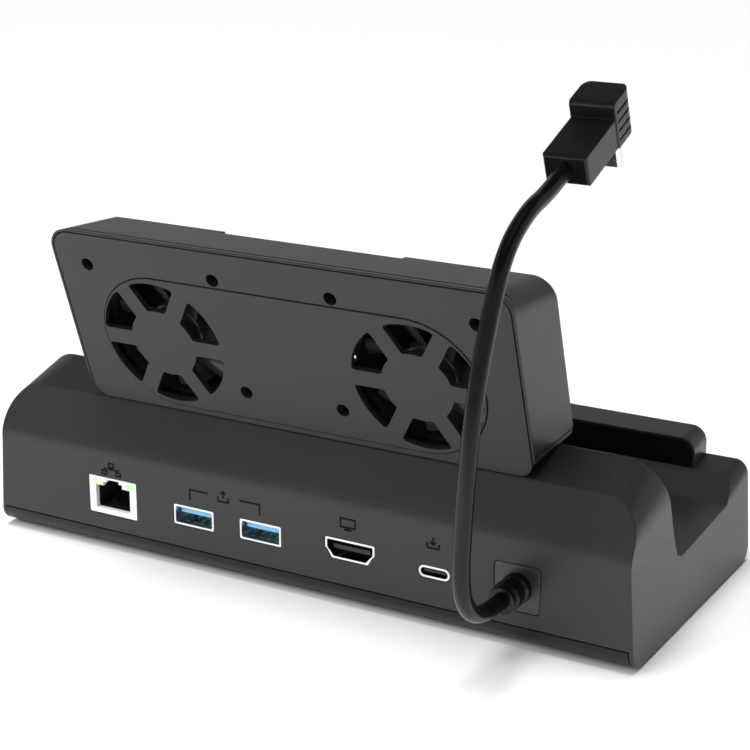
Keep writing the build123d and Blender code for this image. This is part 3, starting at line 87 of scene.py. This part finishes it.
def back(v):
    """Y of a place that lies v millimetres forward of the rear wall."""
    return REAR_WALL - v * MM


def up(w):
    """Z of a place that lies w millimetres above the underside."""
    return UNDERSIDE + w * MM


print("rear wall at", round(REAR_WALL / MM, 2), "underside at", round(UNDERSIDE / MM, 2))

# %% [markdown]
# ## The camera
# The stand is seen from behind and a little from its left end, from above the table. A long lens
# keeps the lines of the stand nearly parallel, as in a product picture.

# %% Camera
EYE = Vector((-0.25441, 0.43392, 0.21288))
LOOK = Vector((0.4740, -0.8260, -0.3050))
LENS = 91.1

camera = bpy.data.objects.new("camera", bpy.data.cameras.new("camera"))
bpy.context.scene.collection.objects.link(camera)
camera.data.lens = LENS
camera.data.sensor_width = 36.0
camera.location = EYE
camera.rotation_mode = "QUATERNION"
camera.rotation_quaternion = LOOK.to_track_quat("-Z", "Y")
camera.data.clip_start = 0.01
camera.data.clip_end = 50.0
bpy.context.scene.camera = camera
print("camera looks along", [round(value, 3) for value in LOOK])

# %% [markdown]
# ## The lead
# A cable with a PVC jacket is stiff enough to stand up by itself. Its line is one smooth curve, so
# a NURBS spline of order 3 through a handful of control points suits it better than a chain of
# straight runs, and the curve's own bevel makes the round jacket. The control points are the
# route that the CAD tube follows: out of the sleeve, up behind the back rest and over to the plug.

# %% The lead's route and its curve
LEAD_X = -67.8 * MM
LEAD_DIAMETER = 4.4 * MM
ROUTE = (
    (-9.5, 15.85),
    (-18.45, 15.85),
    (-26.95, 19.7),
    (-31.35, 27.8),
    (-30.25, 43.8),
    (-28.15, 60.0),
    (-24.65, 75.5),
    (-18.65, 90.5),
    (-11.35, 105.0),
    (0.65, 112.3),
    (11.645, 114.441),
    (21.8, 118.4),
)


def lead_curve(name, route):
    """An open NURBS curve through (depth, height) control points in the upright plane LEAD_X."""
    curve = bpy.data.curves.new(name, "CURVE")
    curve.dimensions = "3D"
    curve.resolution_u = 12
    curve.bevel_depth = 1.0  # times each point's own radius
    curve.bevel_resolution = 8
    curve.use_fill_caps = True
    spline = curve.splines.new("NURBS")
    spline.points.add(len(route) - 1)
    for point, (v, w) in zip(spline.points, route):
        point.co = (LEAD_X, back(v), up(w), 1.0)
        point.radius = LEAD_DIAMETER / 2
    spline.order_u = 3
    spline.use_endpoint_u = True
    lead = bpy.data.objects.new(name, curve)
    bpy.context.scene.collection.objects.link(lead)
    return lead


def curve_length(curve_object):
    """The length of a curve's centre line, measured on a copy that has no bevel."""
    bare = curve_object.data.copy()
    bare.bevel_depth = 0.0
    holder = bpy.data.objects.new("measure", bare)
    mesh = bpy.data.meshes.new_from_object(holder)
    line = np.empty(len(mesh.vertices) * 3)
    mesh.vertices.foreach_get("co", line)
    line = line.reshape(-1, 3)
    bpy.data.meshes.remove(mesh)
    bpy.data.objects.remove(holder)
    bpy.data.curves.remove(bare)
    return float(np.linalg.norm(np.diff(line, axis=0), axis=1).sum())


lead = lead_curve("plug_lead", ROUTE)
lead_length = curve_length(lead)
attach(lead, "dock")
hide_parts("cord")
print("lead length", round(lead_length / MM, 1), "mm")

# %% [markdown]
# ## Studio light
# Black plastic shows what it reflects more than its own colour. A pale floor brightens every face
# that leans down to it, a wide soft light overhead brightens the tops, and the dim band of sky
# between them leaves the slope above the sockets dark. So the sky is a ramp over height, and one
# broad sun from above lights floor and object evenly.

# %% Colours, floor and light
def linear(code):
    """An sRGB hex colour as linear red, green, blue and 1."""
    values = [int(code[i : i + 2], 16) / 255 for i in (1, 3, 5)]
    channels = [c / 12.92 if c <= 0.04045 else ((c + 0.055) / 1.055) ** 2.4 for c in values]
    return (*channels, 1.0)


def add_node(tree, kind, inputs=None, **settings):
    """Adds a shader node, gives it its settings and fills its inputs with values or links."""
    made = tree.nodes.new(kind)
    for key, value in settings.items():
        setattr(made, key, value)
    for key, value in (inputs or {}).items():
        if isinstance(value, bpy.types.NodeSocket):
            tree.links.new(value, made.inputs[key])
        else:
            made.inputs[key].default_value = value
    return made


def set_ramp(ramp, stops):
    """Fills a colour ramp with (place, hex colour) stops."""
    elements = ramp.elements
    while len(elements) > 1:
        elements.remove(elements[-1])
    elements[0].position = stops[0][0]
    elements[0].color = linear(stops[0][1])
    for place, code in stops[1:]:
        elements.new(place).color = linear(code)


def studio_sky():
    """A sky that is pale at the horizon, dim half way up and bright overhead."""
    world = bpy.data.worlds.new("studio")
    bpy.context.scene.world = world
    world.use_nodes = True
    tree = world.node_tree
    tree.nodes.clear()
    place = add_node(tree, "ShaderNodeTexCoord")
    parts = add_node(tree, "ShaderNodeSeparateXYZ", {"Vector": place.outputs["Generated"]})
    ramp = add_node(tree, "ShaderNodeValToRGB", {"Fac": parts.outputs["Z"]})
    stops = ((0.0, "#a8a8a8"), (0.56, "#bcbcbc"), (0.67, "#2a2a2a"), (0.86, "#2c2c2c"), (0.98, "#909090"))
    set_ramp(ramp.color_ramp, stops)
    sky = add_node(tree, "ShaderNodeBackground", {"Color": ramp.outputs["Color"], "Strength": 1.0})
    out = add_node(tree, "ShaderNodeOutputWorld")
    tree.links.new(sky.outputs["Background"], out.inputs["Surface"])


def soft_sun():
    """One broad sun from overhead. Its own mirror image would burn out the slopes, so only the
    light it spreads is seen, as from a tent of white cloth."""
    data = bpy.data.lights.new("soft_sun", "SUN")
    data.energy = 2.75
    data.angle = math.radians(36)
    sun = bpy.data.objects.new("soft_sun", data)
    bpy.context.scene.collection.objects.link(sun)
    sun.rotation_euler = (math.radians(-3), math.radians(6), 0.0)
    sun.visible_glossy = False


def rear_panel_light():
    """A square light over the floor behind the stand: it lifts what the rear wall reflects."""
    data = bpy.data.lights.new("rear_light", "AREA")
    data.energy = 8.0
    data.size = 0.9
    light = bpy.data.objects.new("rear_light", data)
    bpy.context.scene.collection.objects.link(light)
    light.location = (0.3, 0.8, 0.6)
    light.visible_glossy = False


def pale_floor():
    """A wide plain floor at the height of the feet."""
    half = 12.0
    corners = [(-half, -half, 0.0), (half, -half, 0.0), (half, half, 0.0), (-half, half, 0.0)]
    mesh = bpy.data.meshes.new("floor")
    mesh.from_pydata(corners, [], [(0, 1, 2, 3)])
    floor = bpy.data.objects.new("floor", mesh)
    bpy.context.scene.collection.objects.link(floor)
    finish = bpy.data.materials.new("floor_paper")
    finish.use_nodes = True
    shader = finish.node_tree.nodes["Principled BSDF"]
    shader.inputs["Base Color"].default_value = linear("#f6f6f6")
    shader.inputs["Roughness"].default_value = 0.9
    mesh.materials.append(finish)
    floor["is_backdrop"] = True


studio_sky()
soft_sun()
rear_panel_light()
pale_floor()
bpy.context.scene.view_settings.view_transform = "Standard"
print("studio is lit")

# %% [markdown]
# ## Black moulded plastic
# The base, the housing and the panel are ABS, injection moulded in tools whose walls were spark
# eroded. That gives the eye a satin black made of tiny pits, lighter where light grazes it. The
# real pits are about 0.05 mm apart, too fine to show, so they are drawn 0.35 mm apart and kept
# shallow. A slower cloud of roughness stands for the way a mould wears and plastic flows.

# %% A finish for moulded plastic
PIT = 0.35 * MM
FLOW = 22 * MM
EDGE_SOFT = 0.35 * MM


def start_material(name, base, roughness, metallic=0.0, ior=1.5):
    """An empty material with a Principled shader and its plain settings."""
    finish = bpy.data.materials.new(name)
    finish.use_nodes = True
    tree = finish.node_tree
    shader = tree.nodes["Principled BSDF"]
    shader.inputs["Base Color"].default_value = linear(base)
    shader.inputs["Roughness"].default_value = roughness
    shader.inputs["Metallic"].default_value = metallic
    if metallic == 0.0:
        shader.inputs["IOR"].default_value = ior
    return finish, tree, shader


def object_place(tree):
    """The Object coordinates, which stay with the surface."""
    return add_node(tree, "ShaderNodeTexCoord").outputs["Object"]


def moulded(name, base, roughness=0.5, pits=0.5, spacing=PIT, ior=1.53, soft=EDGE_SOFT):
    """Moulded plastic or rubber: base colour, cloudy roughness and shallow pits."""
    finish, tree, shader = start_material(name, base, roughness, ior=ior)
    place = object_place(tree)
    cloud = add_node(tree, "ShaderNodeTexNoise", {"Vector": place, "Scale": 1 / FLOW, "Detail": 3.0})
    span = {"Value": cloud.outputs["Fac"], "To Min": roughness - 0.05, "To Max": roughness + 0.05}
    spread = add_node(tree, "ShaderNodeMapRange", span)
    tree.links.new(spread.outputs["Result"], shader.inputs["Roughness"])
    tone = add_node(tree, "ShaderNodeMix", {"Factor": cloud.outputs["Fac"]}, data_type="RGBA")
    dark = linear(base)
    tone.inputs["A"].default_value = tuple(c * 0.88 for c in dark[:3]) + (1.0,)
    tone.inputs["B"].default_value = tuple(c * 1.12 for c in dark[:3]) + (1.0,)
    tree.links.new(tone.outputs["Result"], shader.inputs["Base Color"])
    pit = add_node(
        tree, "ShaderNodeTexNoise", {"Vector": place, "Scale": 1 / spacing, "Detail": 2.0}
    )
    bump = {"Height": pit.outputs["Fac"], "Strength": pits, "Distance": 0.04 * MM}
    if soft:
        edge = add_node(tree, "ShaderNodeBevel", {"Radius": soft}, samples=4)
        bump["Normal"] = edge.outputs["Normal"]
    surface = add_node(tree, "ShaderNodeBump", bump)
    tree.links.new(surface.outputs["Normal"], shader.inputs["Normal"])
    return finish


def dress(finish, *names):
    """Gives a finish to CAD nodes."""
    for name in names:
        node_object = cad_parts[name]
        node_object.data.materials.clear()
        node_object.data.materials.append(finish)


base_abs = moulded("abs_spark_eroded_base", "#262627", 0.37, ior=1.47, soft=0.8 * MM)
# The bottom cover is painted much darker than the base: painted shade for its low band, which the pale floor would
# otherwise light.
cover_abs_painted_shade = moulded("abs_spark_eroded_cover_painted_shade", "#080809", 0.32, ior=1.42, soft=0.5 * MM)
housing_abs = moulded("abs_spark_eroded_housing", "#202021", 0.37, ior=1.45, soft=0.6 * MM)
panel_abs = moulded("abs_satin_panel", "#1d1d1e", 0.4, pits=0.25, ior=1.48)
grille_abs = moulded("abs_satin_grille", "#1d1d1e", 0.4, pits=0.25, ior=1.48)
stop_abs = moulded("abs_spark_eroded_stop", "#1f1f20", 0.36, ior=1.62, soft=0.6 * MM)
gland_abs = moulded("abs_satin_gland", "#1b1b1c", 0.36, pits=0.3, ior=1.66)
plug_abs = moulded("tpe_moulded_plug", "#101011", 0.3, pits=0.3, ior=1.4, soft=0.5 * MM)
fan_pbt = moulded("pbt_moulded_fan_frame", "#1e1e20", 0.4, pits=0.3, soft=0.0)
dress(base_abs, "base_shell")
dress(cover_abs_painted_shade, "bottom_cover")
dress(housing_abs, "housing_shell")
dress(panel_abs, "rear_panel")
dress(grille_abs, "grille_plate")
dress(stop_abs, "front_stop_bar")
dress(gland_abs, "cable_gland_plate")
dress(plug_abs, "plug_housing")
dress(fan_pbt, "fan_frame_1", "fan_frame_2")
print("moulded plastics ready")

# %% [markdown]
# ## Rubber, gloss plastic and cable jacket
# Silicone pads are the darkest thing on the stand, because soft rubber scatters little light back.
# The fan blades are glossy PBT, so each one catches a thin highlight. The PVC jacket of the lead
# lies between the two: smooth, with a soft streak of light along it.

# %% Rubber, gloss and jacket
pad_rubber = moulded("silicone_pad", "#040404", 0.75, pits=0.6, ior=1.3)
foot_rubber = moulded("nitrile_foot", "#121212", 0.75, pits=0.8, ior=1.5)
blade_pbt = moulded("pbt_polished_blades", "#3a3a3c", 0.22, pits=0.0, soft=0.0)
jacket_pvc = moulded("pvc_cable_jacket", "#050506", 0.27, pits=0.15, spacing=0.6 * MM, ior=1.4, soft=0.0)
sleeve_rubber = moulded("tpe_ribbed_sleeve", "#040405", 0.24, pits=0.1, ior=1.4, soft=0.0)
dress(pad_rubber, "front_stop_pad", "slot_floor_pad", "back_rest_pads")
dress(foot_rubber, "rubber_feet")
dress(blade_pbt, "fan_rotor_1", "fan_rotor_2")
dress(jacket_pvc, "cable_tail", "fan_leads", "cord")
dress(sleeve_rubber, "strain_relief_boot")
lead.data.materials.append(jacket_pvc)
print("rubber and gloss ready")

# %% [markdown]
# ## Metals
# The socket shells are thin steel with bright nickel, drawn smooth and a little warm. Screws are
# blackened steel or plain zinc, the bearings sintered bronze, and the contacts gold over nickel.
# Stretching the noise along one axis gives the fine drawn lines of sheet metal.

# %% Metal finishes
LINE = 0.12 * MM


def metal(name, base, roughness, lines=(1.0, 0.06, 1.0), depth=0.25):
    """Drawn or turned metal: a bright base with fine lines that run along one axis."""
    finish, tree, shader = start_material(name, base, roughness, metallic=1.0)
    place = object_place(tree)
    turn = add_node(tree, "ShaderNodeMapping", {"Vector": place, "Scale": lines})
    line = add_node(
        tree, "ShaderNodeTexNoise", {"Vector": turn.outputs["Vector"], "Scale": 1 / LINE, "Detail": 2.0}
    )
    span = {"Value": line.outputs["Fac"], "To Min": roughness * 0.7, "To Max": roughness * 1.3}
    spread = add_node(tree, "ShaderNodeMapRange", span)
    tree.links.new(spread.outputs["Result"], shader.inputs["Roughness"])
    bump = {"Height": line.outputs["Fac"], "Strength": depth, "Distance": 0.01 * MM}
    surface = add_node(tree, "ShaderNodeBump", bump)
    tree.links.new(surface.outputs["Normal"], shader.inputs["Normal"])
    return finish


nickel = metal("nickel_bright_sheet", "#e9e8e6", 0.2)
black_steel = metal("steel_blackened", "#3a3a3c", 0.4)
zinc = metal("steel_zinc_plated", "#b9bcc0", 0.35)
ground_steel = metal("steel_ground_shaft", "#c8c8ca", 0.2)
bronze = metal("bronze_sintered", "#a9824c", 0.5)
tinned = metal("tin_plated_wire", "#cfcfce", 0.3)
gold = metal("gold_plated_contact", "#e2b65c", 0.25)
aluminium = metal("aluminium_brushed", "#c9cacc", 0.35, lines=(0.06, 1.0, 1.0), depth=0.5)
ferrite = moulded("ferrite_bonded", "#2a2826", 0.6, pits=0.8, soft=0.0)
dress(nickel, "rj45_shield", "usb_a_shell_1", "usb_a_shell_2", "hdmi_shell", "usb_c_shell", "plug_shell")
dress(black_steel, "panel_screws", "base_screws", "fan_screws")
dress(zinc, "board_screws", "housing_screws")
dress(ground_steel, "fan_shaft_1", "fan_shaft_2")
dress(bronze, "fan_bearing_1", "fan_bearing_2")
dress(tinned, "rj45_contacts")
dress(aluminium, "heat_spreader", "board_capacitors")
dress(ferrite, "fan_magnet_1", "fan_magnet_2")
print("metals ready")

# %% [markdown]
# ## Coloured mouldings
# The network socket is white nylon with two clear windows, one pale yellow and one pale green. The
# USB tongues are light blue, which tells the user that the sockets are the fast kind. The board is
# glass fibre under a green lacquer, and its copper tracks show through as a faint grid.

# %% Coloured mouldings and the board
white_nylon = moulded("nylon_white", "#f2f2ef", 0.45, pits=0.2, soft=0.1 * MM)
blue_lcp = moulded("lcp_blue_tongue", "#8fd0ff", 0.4, pits=0.2, soft=0.1 * MM)
black_lcp = moulded("lcp_black_tongue", "#19191a", 0.4, pits=0.2, soft=0.1 * MM)
resin = moulded("epoxy_chip_resin", "#161617", 0.55, pits=0.6, soft=0.1 * MM)


def nylon_with_painted_deep_shade(border_y):
    """White nylon, painted dark grey past a plane across Y behind the face: painted shade for the deep part of the
    socket.
    """
    finish = moulded("nylon_painted_deep_shade", "#f2f2ef", 0.45, pits=0.2, soft=0.1 * MM)
    tree = finish.node_tree
    shader = tree.nodes["Principled BSDF"]
    white = shader.inputs["Base Color"].links[0].from_socket
    parts = add_node(tree, "ShaderNodeSeparateXYZ", {"Vector": object_place(tree)})
    # Painted shade: past this plane the socket is painted dark grey, for the shade deep in it.
    shade_mask = add_node(tree, "ShaderNodeMath", {0: parts.outputs["Y"], 1: border_y}, operation="LESS_THAN")
    painted_shade = add_node(tree, "ShaderNodeMix", {"Factor": shade_mask.outputs["Value"], "A": white}, data_type="RGBA")
    painted_shade.inputs["B"].default_value = linear("#1d1d1e")
    tree.links.new(painted_shade.outputs["Result"], shader.inputs["Base Color"])
    return finish


def window_plastic(border_x):
    """Clear window plastic, pale yellow on one side of a plane across X and pale green past it."""
    finish, tree, shader = start_material("polycarbonate_window", "#e9edb4", 0.3, ior=1.58)
    parts = add_node(tree, "ShaderNodeSeparateXYZ", {"Vector": object_place(tree)})
    side = add_node(tree, "ShaderNodeMath", {0: parts.outputs["X"], 1: border_x}, operation="GREATER_THAN")
    tint = add_node(tree, "ShaderNodeMix", {"Factor": side.outputs["Value"]}, data_type="RGBA")
    tint.inputs["A"].default_value = linear("#c9e6c4")
    tint.inputs["B"].default_value = linear("#eceeb0")
    tree.links.new(tint.outputs["Result"], shader.inputs["Base Color"])
    return finish


def board_laminate():
    """Green lacquer over glass fibre, with tracks that run both ways under it."""
    finish, tree, shader = start_material("fr4_green_lacquer", "#0f4a2c", 0.3, ior=1.55)
    place = object_place(tree)
    grid = {"Vector": place, "Scale": 1 / (3.2 * MM), "Brick Width": 0.9, "Row Height": 0.35}
    tracks = add_node(tree, "ShaderNodeTexBrick", {**grid, "Mortar Size": 0.05})
    tracks.inputs["Color1"].default_value = linear("#0d3f26")
    tracks.inputs["Color2"].default_value = linear("#0f4a2c")
    tracks.inputs["Mortar"].default_value = linear("#1c6b41")
    tree.links.new(tracks.outputs["Color"], shader.inputs["Base Color"])
    return finish


def wound_core():
    """The motor's windings: copper wire, laid side by side around the core."""
    finish, tree, shader = start_material("copper_windings", "#b0622f", 0.35, metallic=1.0)
    wire = {"Vector": object_place(tree), "Scale": 1 / (0.9 * MM), "Distortion": 0.6}
    turns = add_node(tree, "ShaderNodeTexWave", wire, bands_direction="Z")
    bump = {"Height": turns.outputs["Fac"], "Strength": 0.6, "Distance": 0.1 * MM}
    surface = add_node(tree, "ShaderNodeBump", bump)
    tree.links.new(surface.outputs["Normal"], shader.inputs["Normal"])
    return finish


dress(white_nylon, "board_connectors")
dress(nylon_with_painted_deep_shade(back(1.5)), "rj45_body")
dress(window_plastic(middle("rj45_body").x), "rj45_leds")
dress(blue_lcp, "usb_a_tongue_1", "usb_a_tongue_2")
dress(black_lcp, "hdmi_tongue", "usb_c_tongue", "plug_contacts")
dress(resin, "board_chips")
dress(board_laminate(), "main_board")
dress(wound_core(), "fan_stator_1", "fan_stator_2")
print("coloured mouldings ready")

# %% [markdown]
# ## Shapes worked out as arrays
# The new pieces are all small profiles carried along a path. We hold such a surface as a grid of
# points, one closed ring in each row, so that whole rings are computed at once and the faces are
# only index arithmetic. A flat face closes each end of a tube, and a ring of rings closes itself.

# %% Surfaces from grids
def build_piece(name, grids, finish, ring_of_rings=False, body="dock"):
    """Makes one piece out of closed tubes, each a grid of rows by columns by three."""
    corners = np.concatenate([grid.reshape(-1, 3) for grid in grids])
    faces = []
    first = 0
    for grid in grids:
        rows, columns = grid.shape[:2]
        index = np.arange(rows * columns).reshape(rows, columns) + first
        first += rows * columns
        ahead = np.roll(index, -1, axis=0)
        around = np.stack(
            (index, np.roll(index, -1, axis=1), np.roll(ahead, -1, axis=1), ahead), axis=-1
        )
        if ring_of_rings:
            faces += around.reshape(-1, 4).tolist()
        else:
            faces += around[:-1].reshape(-1, 4).tolist()
            faces += [index[0, ::-1].tolist(), index[-1].tolist()]
    mesh = bpy.data.meshes.new(name)
    mesh.from_pydata(corners.tolist(), [], faces)
    shell = bmesh.new()
    shell.from_mesh(mesh)
    bmesh.ops.recalc_face_normals(shell, faces=shell.faces)
    shell.to_mesh(mesh)
    shell.free()
    mesh.materials.append(finish)
    piece = bpy.data.objects.new(name, mesh)
    bpy.context.scene.collection.objects.link(piece)
    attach(piece, body)
    print(name, "faces", len(mesh.polygons))
    return piece


def shade_smooth(piece, degrees):
    """Smooth shading, with a crease wherever two faces meet at more than this angle."""
    piece.data.shade_smooth()
    piece.data.set_sharp_from_angle(angle=math.radians(degrees))


# %% [markdown]
# ## The ribbed sleeve
# The sleeve that keeps the lead from kinking is a soft moulding with three broad ribs. It is a
# body of revolution, so its whole shape is one line: a radius for every place along the axis.
# A squared-off cosine gives ribs that are wider than their grooves, with rounded shoulders, which
# a row of plain rings could not.

# %% The ribbed sleeve
def ribbed_sleeve(root_y, tip_y, axis_x, axis_z):
    """A sleeve around an axis along Y. Its radius is the outer radius less a groove depth times
    half of one minus the hyperbolic tangent of a cosine, and it falls to the lead as a quarter
    ellipse at both ends."""
    steps, ribs = 120, 3
    outer, groove, end = 4.25 * MM, 0.75 * MM, 0.7 * MM
    length = tip_y - root_y
    along = np.linspace(0.0, 1.0, steps)
    wave = np.tanh(3.2 * (0.25 + np.cos(2 * np.pi * (ribs * along * 1.0 - 0.5 / ribs))))
    radius = outer - 0.35 * MM * along - groove * (1 - wave) / 2
    ends = np.minimum(along, 1 - along) * length
    fall = np.clip(1 - ends / end, 0.0, 1.0)
    radius -= 0.6 * MM * (1 - np.sqrt(1 - fall**2))
    bore = np.full(2, LEAD_DIAMETER / 2 + 0.05 * MM)
    profile_r = np.concatenate((radius, bore))
    profile_y = np.concatenate((root_y + along * length, [tip_y, root_y]))
    turn = np.linspace(0.0, 2 * np.pi, 96, endpoint=False)[:, None]
    grid = np.stack(
        (
            axis_x + profile_r * np.cos(turn),
            np.broadcast_to(profile_y, (96, steps + 2)),
            axis_z + profile_r * np.sin(turn),
        ),
        axis=-1,
    )
    return grid


boot_low, boot_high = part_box("strain_relief_boot")
sleeve_grid = ribbed_sleeve(boot_low.y, boot_high.y, LEAD_X, middle("strain_relief_boot").z)
sleeve = build_piece("ribbed_sleeve", [sleeve_grid], sleeve_rubber, ring_of_rings=True)
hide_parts("strain_relief_boot")
shade_smooth(sleeve, 50)

# %% [markdown]
# ## Signs printed beside the sockets
# The signs on the rear wall are pad printed in dead black ink: a film a few hundredths of a
# millimetre thick that shows because it shines less than the plastic around it. Each sign is made of strokes of one width,
# and a stroke is a flat profile carried along its path with mitred corners. The signs are plain
# pictures of what each socket does, with no words or marks of a maker.

# %% Printed strokes
INK_WIDTH = 0.55 * MM
INK_RISE = 0.04 * MM
INK_ROOT = 0.05 * MM


def stroke(path, closed=False):
    """One stroke on the rear wall through (x, height) points in millimetres. At each point the
    two edges lie half a width to either side, along the mean of the two neighbouring normals and
    divided by the cosine of half the turn, which keeps the width through a corner."""
    points = np.array(path, dtype=float)
    if closed:
        before, after = np.roll(points, 1, axis=0), np.roll(points, -1, axis=0)
    else:
        before = np.vstack((2 * points[0] - points[1], points[:-1]))
        after = np.vstack((points[1:], 2 * points[-1] - points[-2]))
    into, out = points - before, after - points
    into /= np.linalg.norm(into, axis=1)[:, None]
    out /= np.linalg.norm(out, axis=1)[:, None]
    normal = np.stack((-(into + out)[:, 1], (into + out)[:, 0]), axis=1)
    normal /= np.linalg.norm(normal, axis=1)[:, None]
    straight = np.stack((-into[:, 1], into[:, 0]), axis=1)
    reach = INK_WIDTH / 2 / np.sum(normal * straight, axis=1)[:, None]
    left, right = points * MM + normal * reach, points * MM - normal * reach
    front, root = REAR_WALL + INK_RISE, REAR_WALL - INK_ROOT
    rings = [(left, root), (left, front), (right, front), (right, root)]
    columns = [
        np.stack((edge[:, 0], np.full(len(edge), depth), UNDERSIDE + edge[:, 1]), axis=-1)
        for edge, depth in rings
    ]
    return np.stack(columns, axis=1)


def box_path(x, w, wide, high):
    """The corners of an upright rectangle about a centre."""
    return [
        (x - wide / 2, w - high / 2),
        (x + wide / 2, w - high / 2),
        (x + wide / 2, w + high / 2),
        (x - wide / 2, w + high / 2),
    ]


def arrow_and_tray(x, w, outward):
    """An arrow that leaves an open tray, or enters it."""
    sign = 1 if outward else -1
    tip = w + 0.5 + sign * 1.0
    tray = [(x - 1.7, w - 0.1), (x - 1.7, w - 1.5), (x + 1.7, w - 1.5), (x + 1.7, w - 0.1)]
    head = [(x - 0.8, tip - sign * 0.8), (x, tip), (x + 0.8, tip - sign * 0.8)]
    shaft = [(x, tip - sign * 0.2), (x, w + 0.5 - sign * 1.0)]
    return [stroke(tray), stroke(head), stroke(shaft)]


ink = moulded("epoxy_ink_black", "#020202", 0.5, pits=0.0, ior=1.25, soft=0.0)
network_sign = [box_path(58.8, 25.0, 1.6, 1.1), box_path(56.4, 22.6, 1.6, 1.1), box_path(61.2, 22.6, 1.6, 1.1)]
open_strokes = [stroke([(58.8, 24.4), (58.8, 23.8)]), stroke([(56.4, 23.2), (56.4, 23.8), (61.2, 23.8), (61.2, 23.2)])]
usb_frame = [
    stroke([(31.9, 19.9), (31.9, 23.0), (25.9, 23.0)]),
    stroke([(15.6, 23.0), (9.1, 23.0), (9.1, 19.9)]),
]
screen = [stroke([(-19.7, 21.3), (-17.3, 21.3)]), stroke([(-18.5, 21.3), (-18.5, 22.0)])]
closed_signs = network_sign + [box_path(-18.5, 23.2, 4.4, 2.4)]
ring_signs = [stroke(path, closed=True) for path in closed_signs]
open_signs = open_strokes + usb_frame + screen + arrow_and_tray(20.9, 23.0, True)
open_signs += arrow_and_tray(-43.9, 23.0, False)
build_piece("printed_signs_closed", ring_signs, ink, ring_of_rings=True)
build_piece("printed_signs_open", open_signs, ink)

# %% [markdown]
# ## Contacts in the sockets
# A socket's tongue carries a row of gold plated leaves. Each leaf is a flat strip, bowed where it
# presses on the plug, so it is a rectangle carried along a line whose height is a single hump.

# %% Contact leaves
def leaf(x, y_mouth, y_root, z, rise, width):
    """A contact leaf that runs along Y. Its height over the tongue is a small step plus a squared
    sine, so that it starts and ends flat."""
    along = np.linspace(0.0, 1.0, 13)
    y = y_mouth + (y_root - y_mouth) * along
    hump = rise * (0.25 + np.sin(np.pi * np.clip(along * 1.6, 0, 1)) ** 2)
    sides = ((-width / 2, 0.0), (-width / 2, 1.0), (width / 2, 1.0), (width / 2, 0.0))
    columns = [
        np.stack((np.full(13, x + side), y, z + np.where(top, hump, -0.03 * MM * np.sign(rise))), axis=-1)
        for side, top in sides
    ]
    return np.stack(columns, axis=1)


def contact_row(name, node, count, pitch, width, rise, above):
    """A row of leaves on the upper or lower face of a tongue."""
    low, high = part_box(node)
    z = high.z if above else low.z
    places = middle(node).x + (np.arange(count) - (count - 1) / 2) * pitch
    mouth = high.y - 0.5 * MM
    root = low.y + 1.0 * MM
    sign = 1 if above else -1
    leaves = [leaf(x, mouth, root, z, sign * rise, width) for x in places]
    return build_piece(name, leaves, gold)


contact_row("usb_leaves_1", "usb_a_tongue_1", 4, 2.5 * MM, 1.1 * MM, 0.35 * MM, above=False)
contact_row("usb_leaves_2", "usb_a_tongue_2", 4, 2.5 * MM, 1.1 * MM, 0.35 * MM, above=False)
contact_row("hdmi_leaves", "hdmi_tongue", 10, 1.0 * MM, 0.5 * MM, 0.08 * MM, above=True)
contact_row("power_leaves", "usb_c_tongue", 12, 0.5 * MM, 0.26 * MM, 0.05 * MM, above=True)

# %% [markdown]
# ## Size at the end
# We measure how far the finished model stands out past the box of the CAD, and print it in millimetres.

# %% Sizes and the last line
bpy.context.view_layer.update()
low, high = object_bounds()
grown = [round(max(c - v, w - d) / MM, 2) for c, v, w, d in zip(cad_low, low, high, cad_high)]
print("most that the visual model stands out, in mm:", grown)
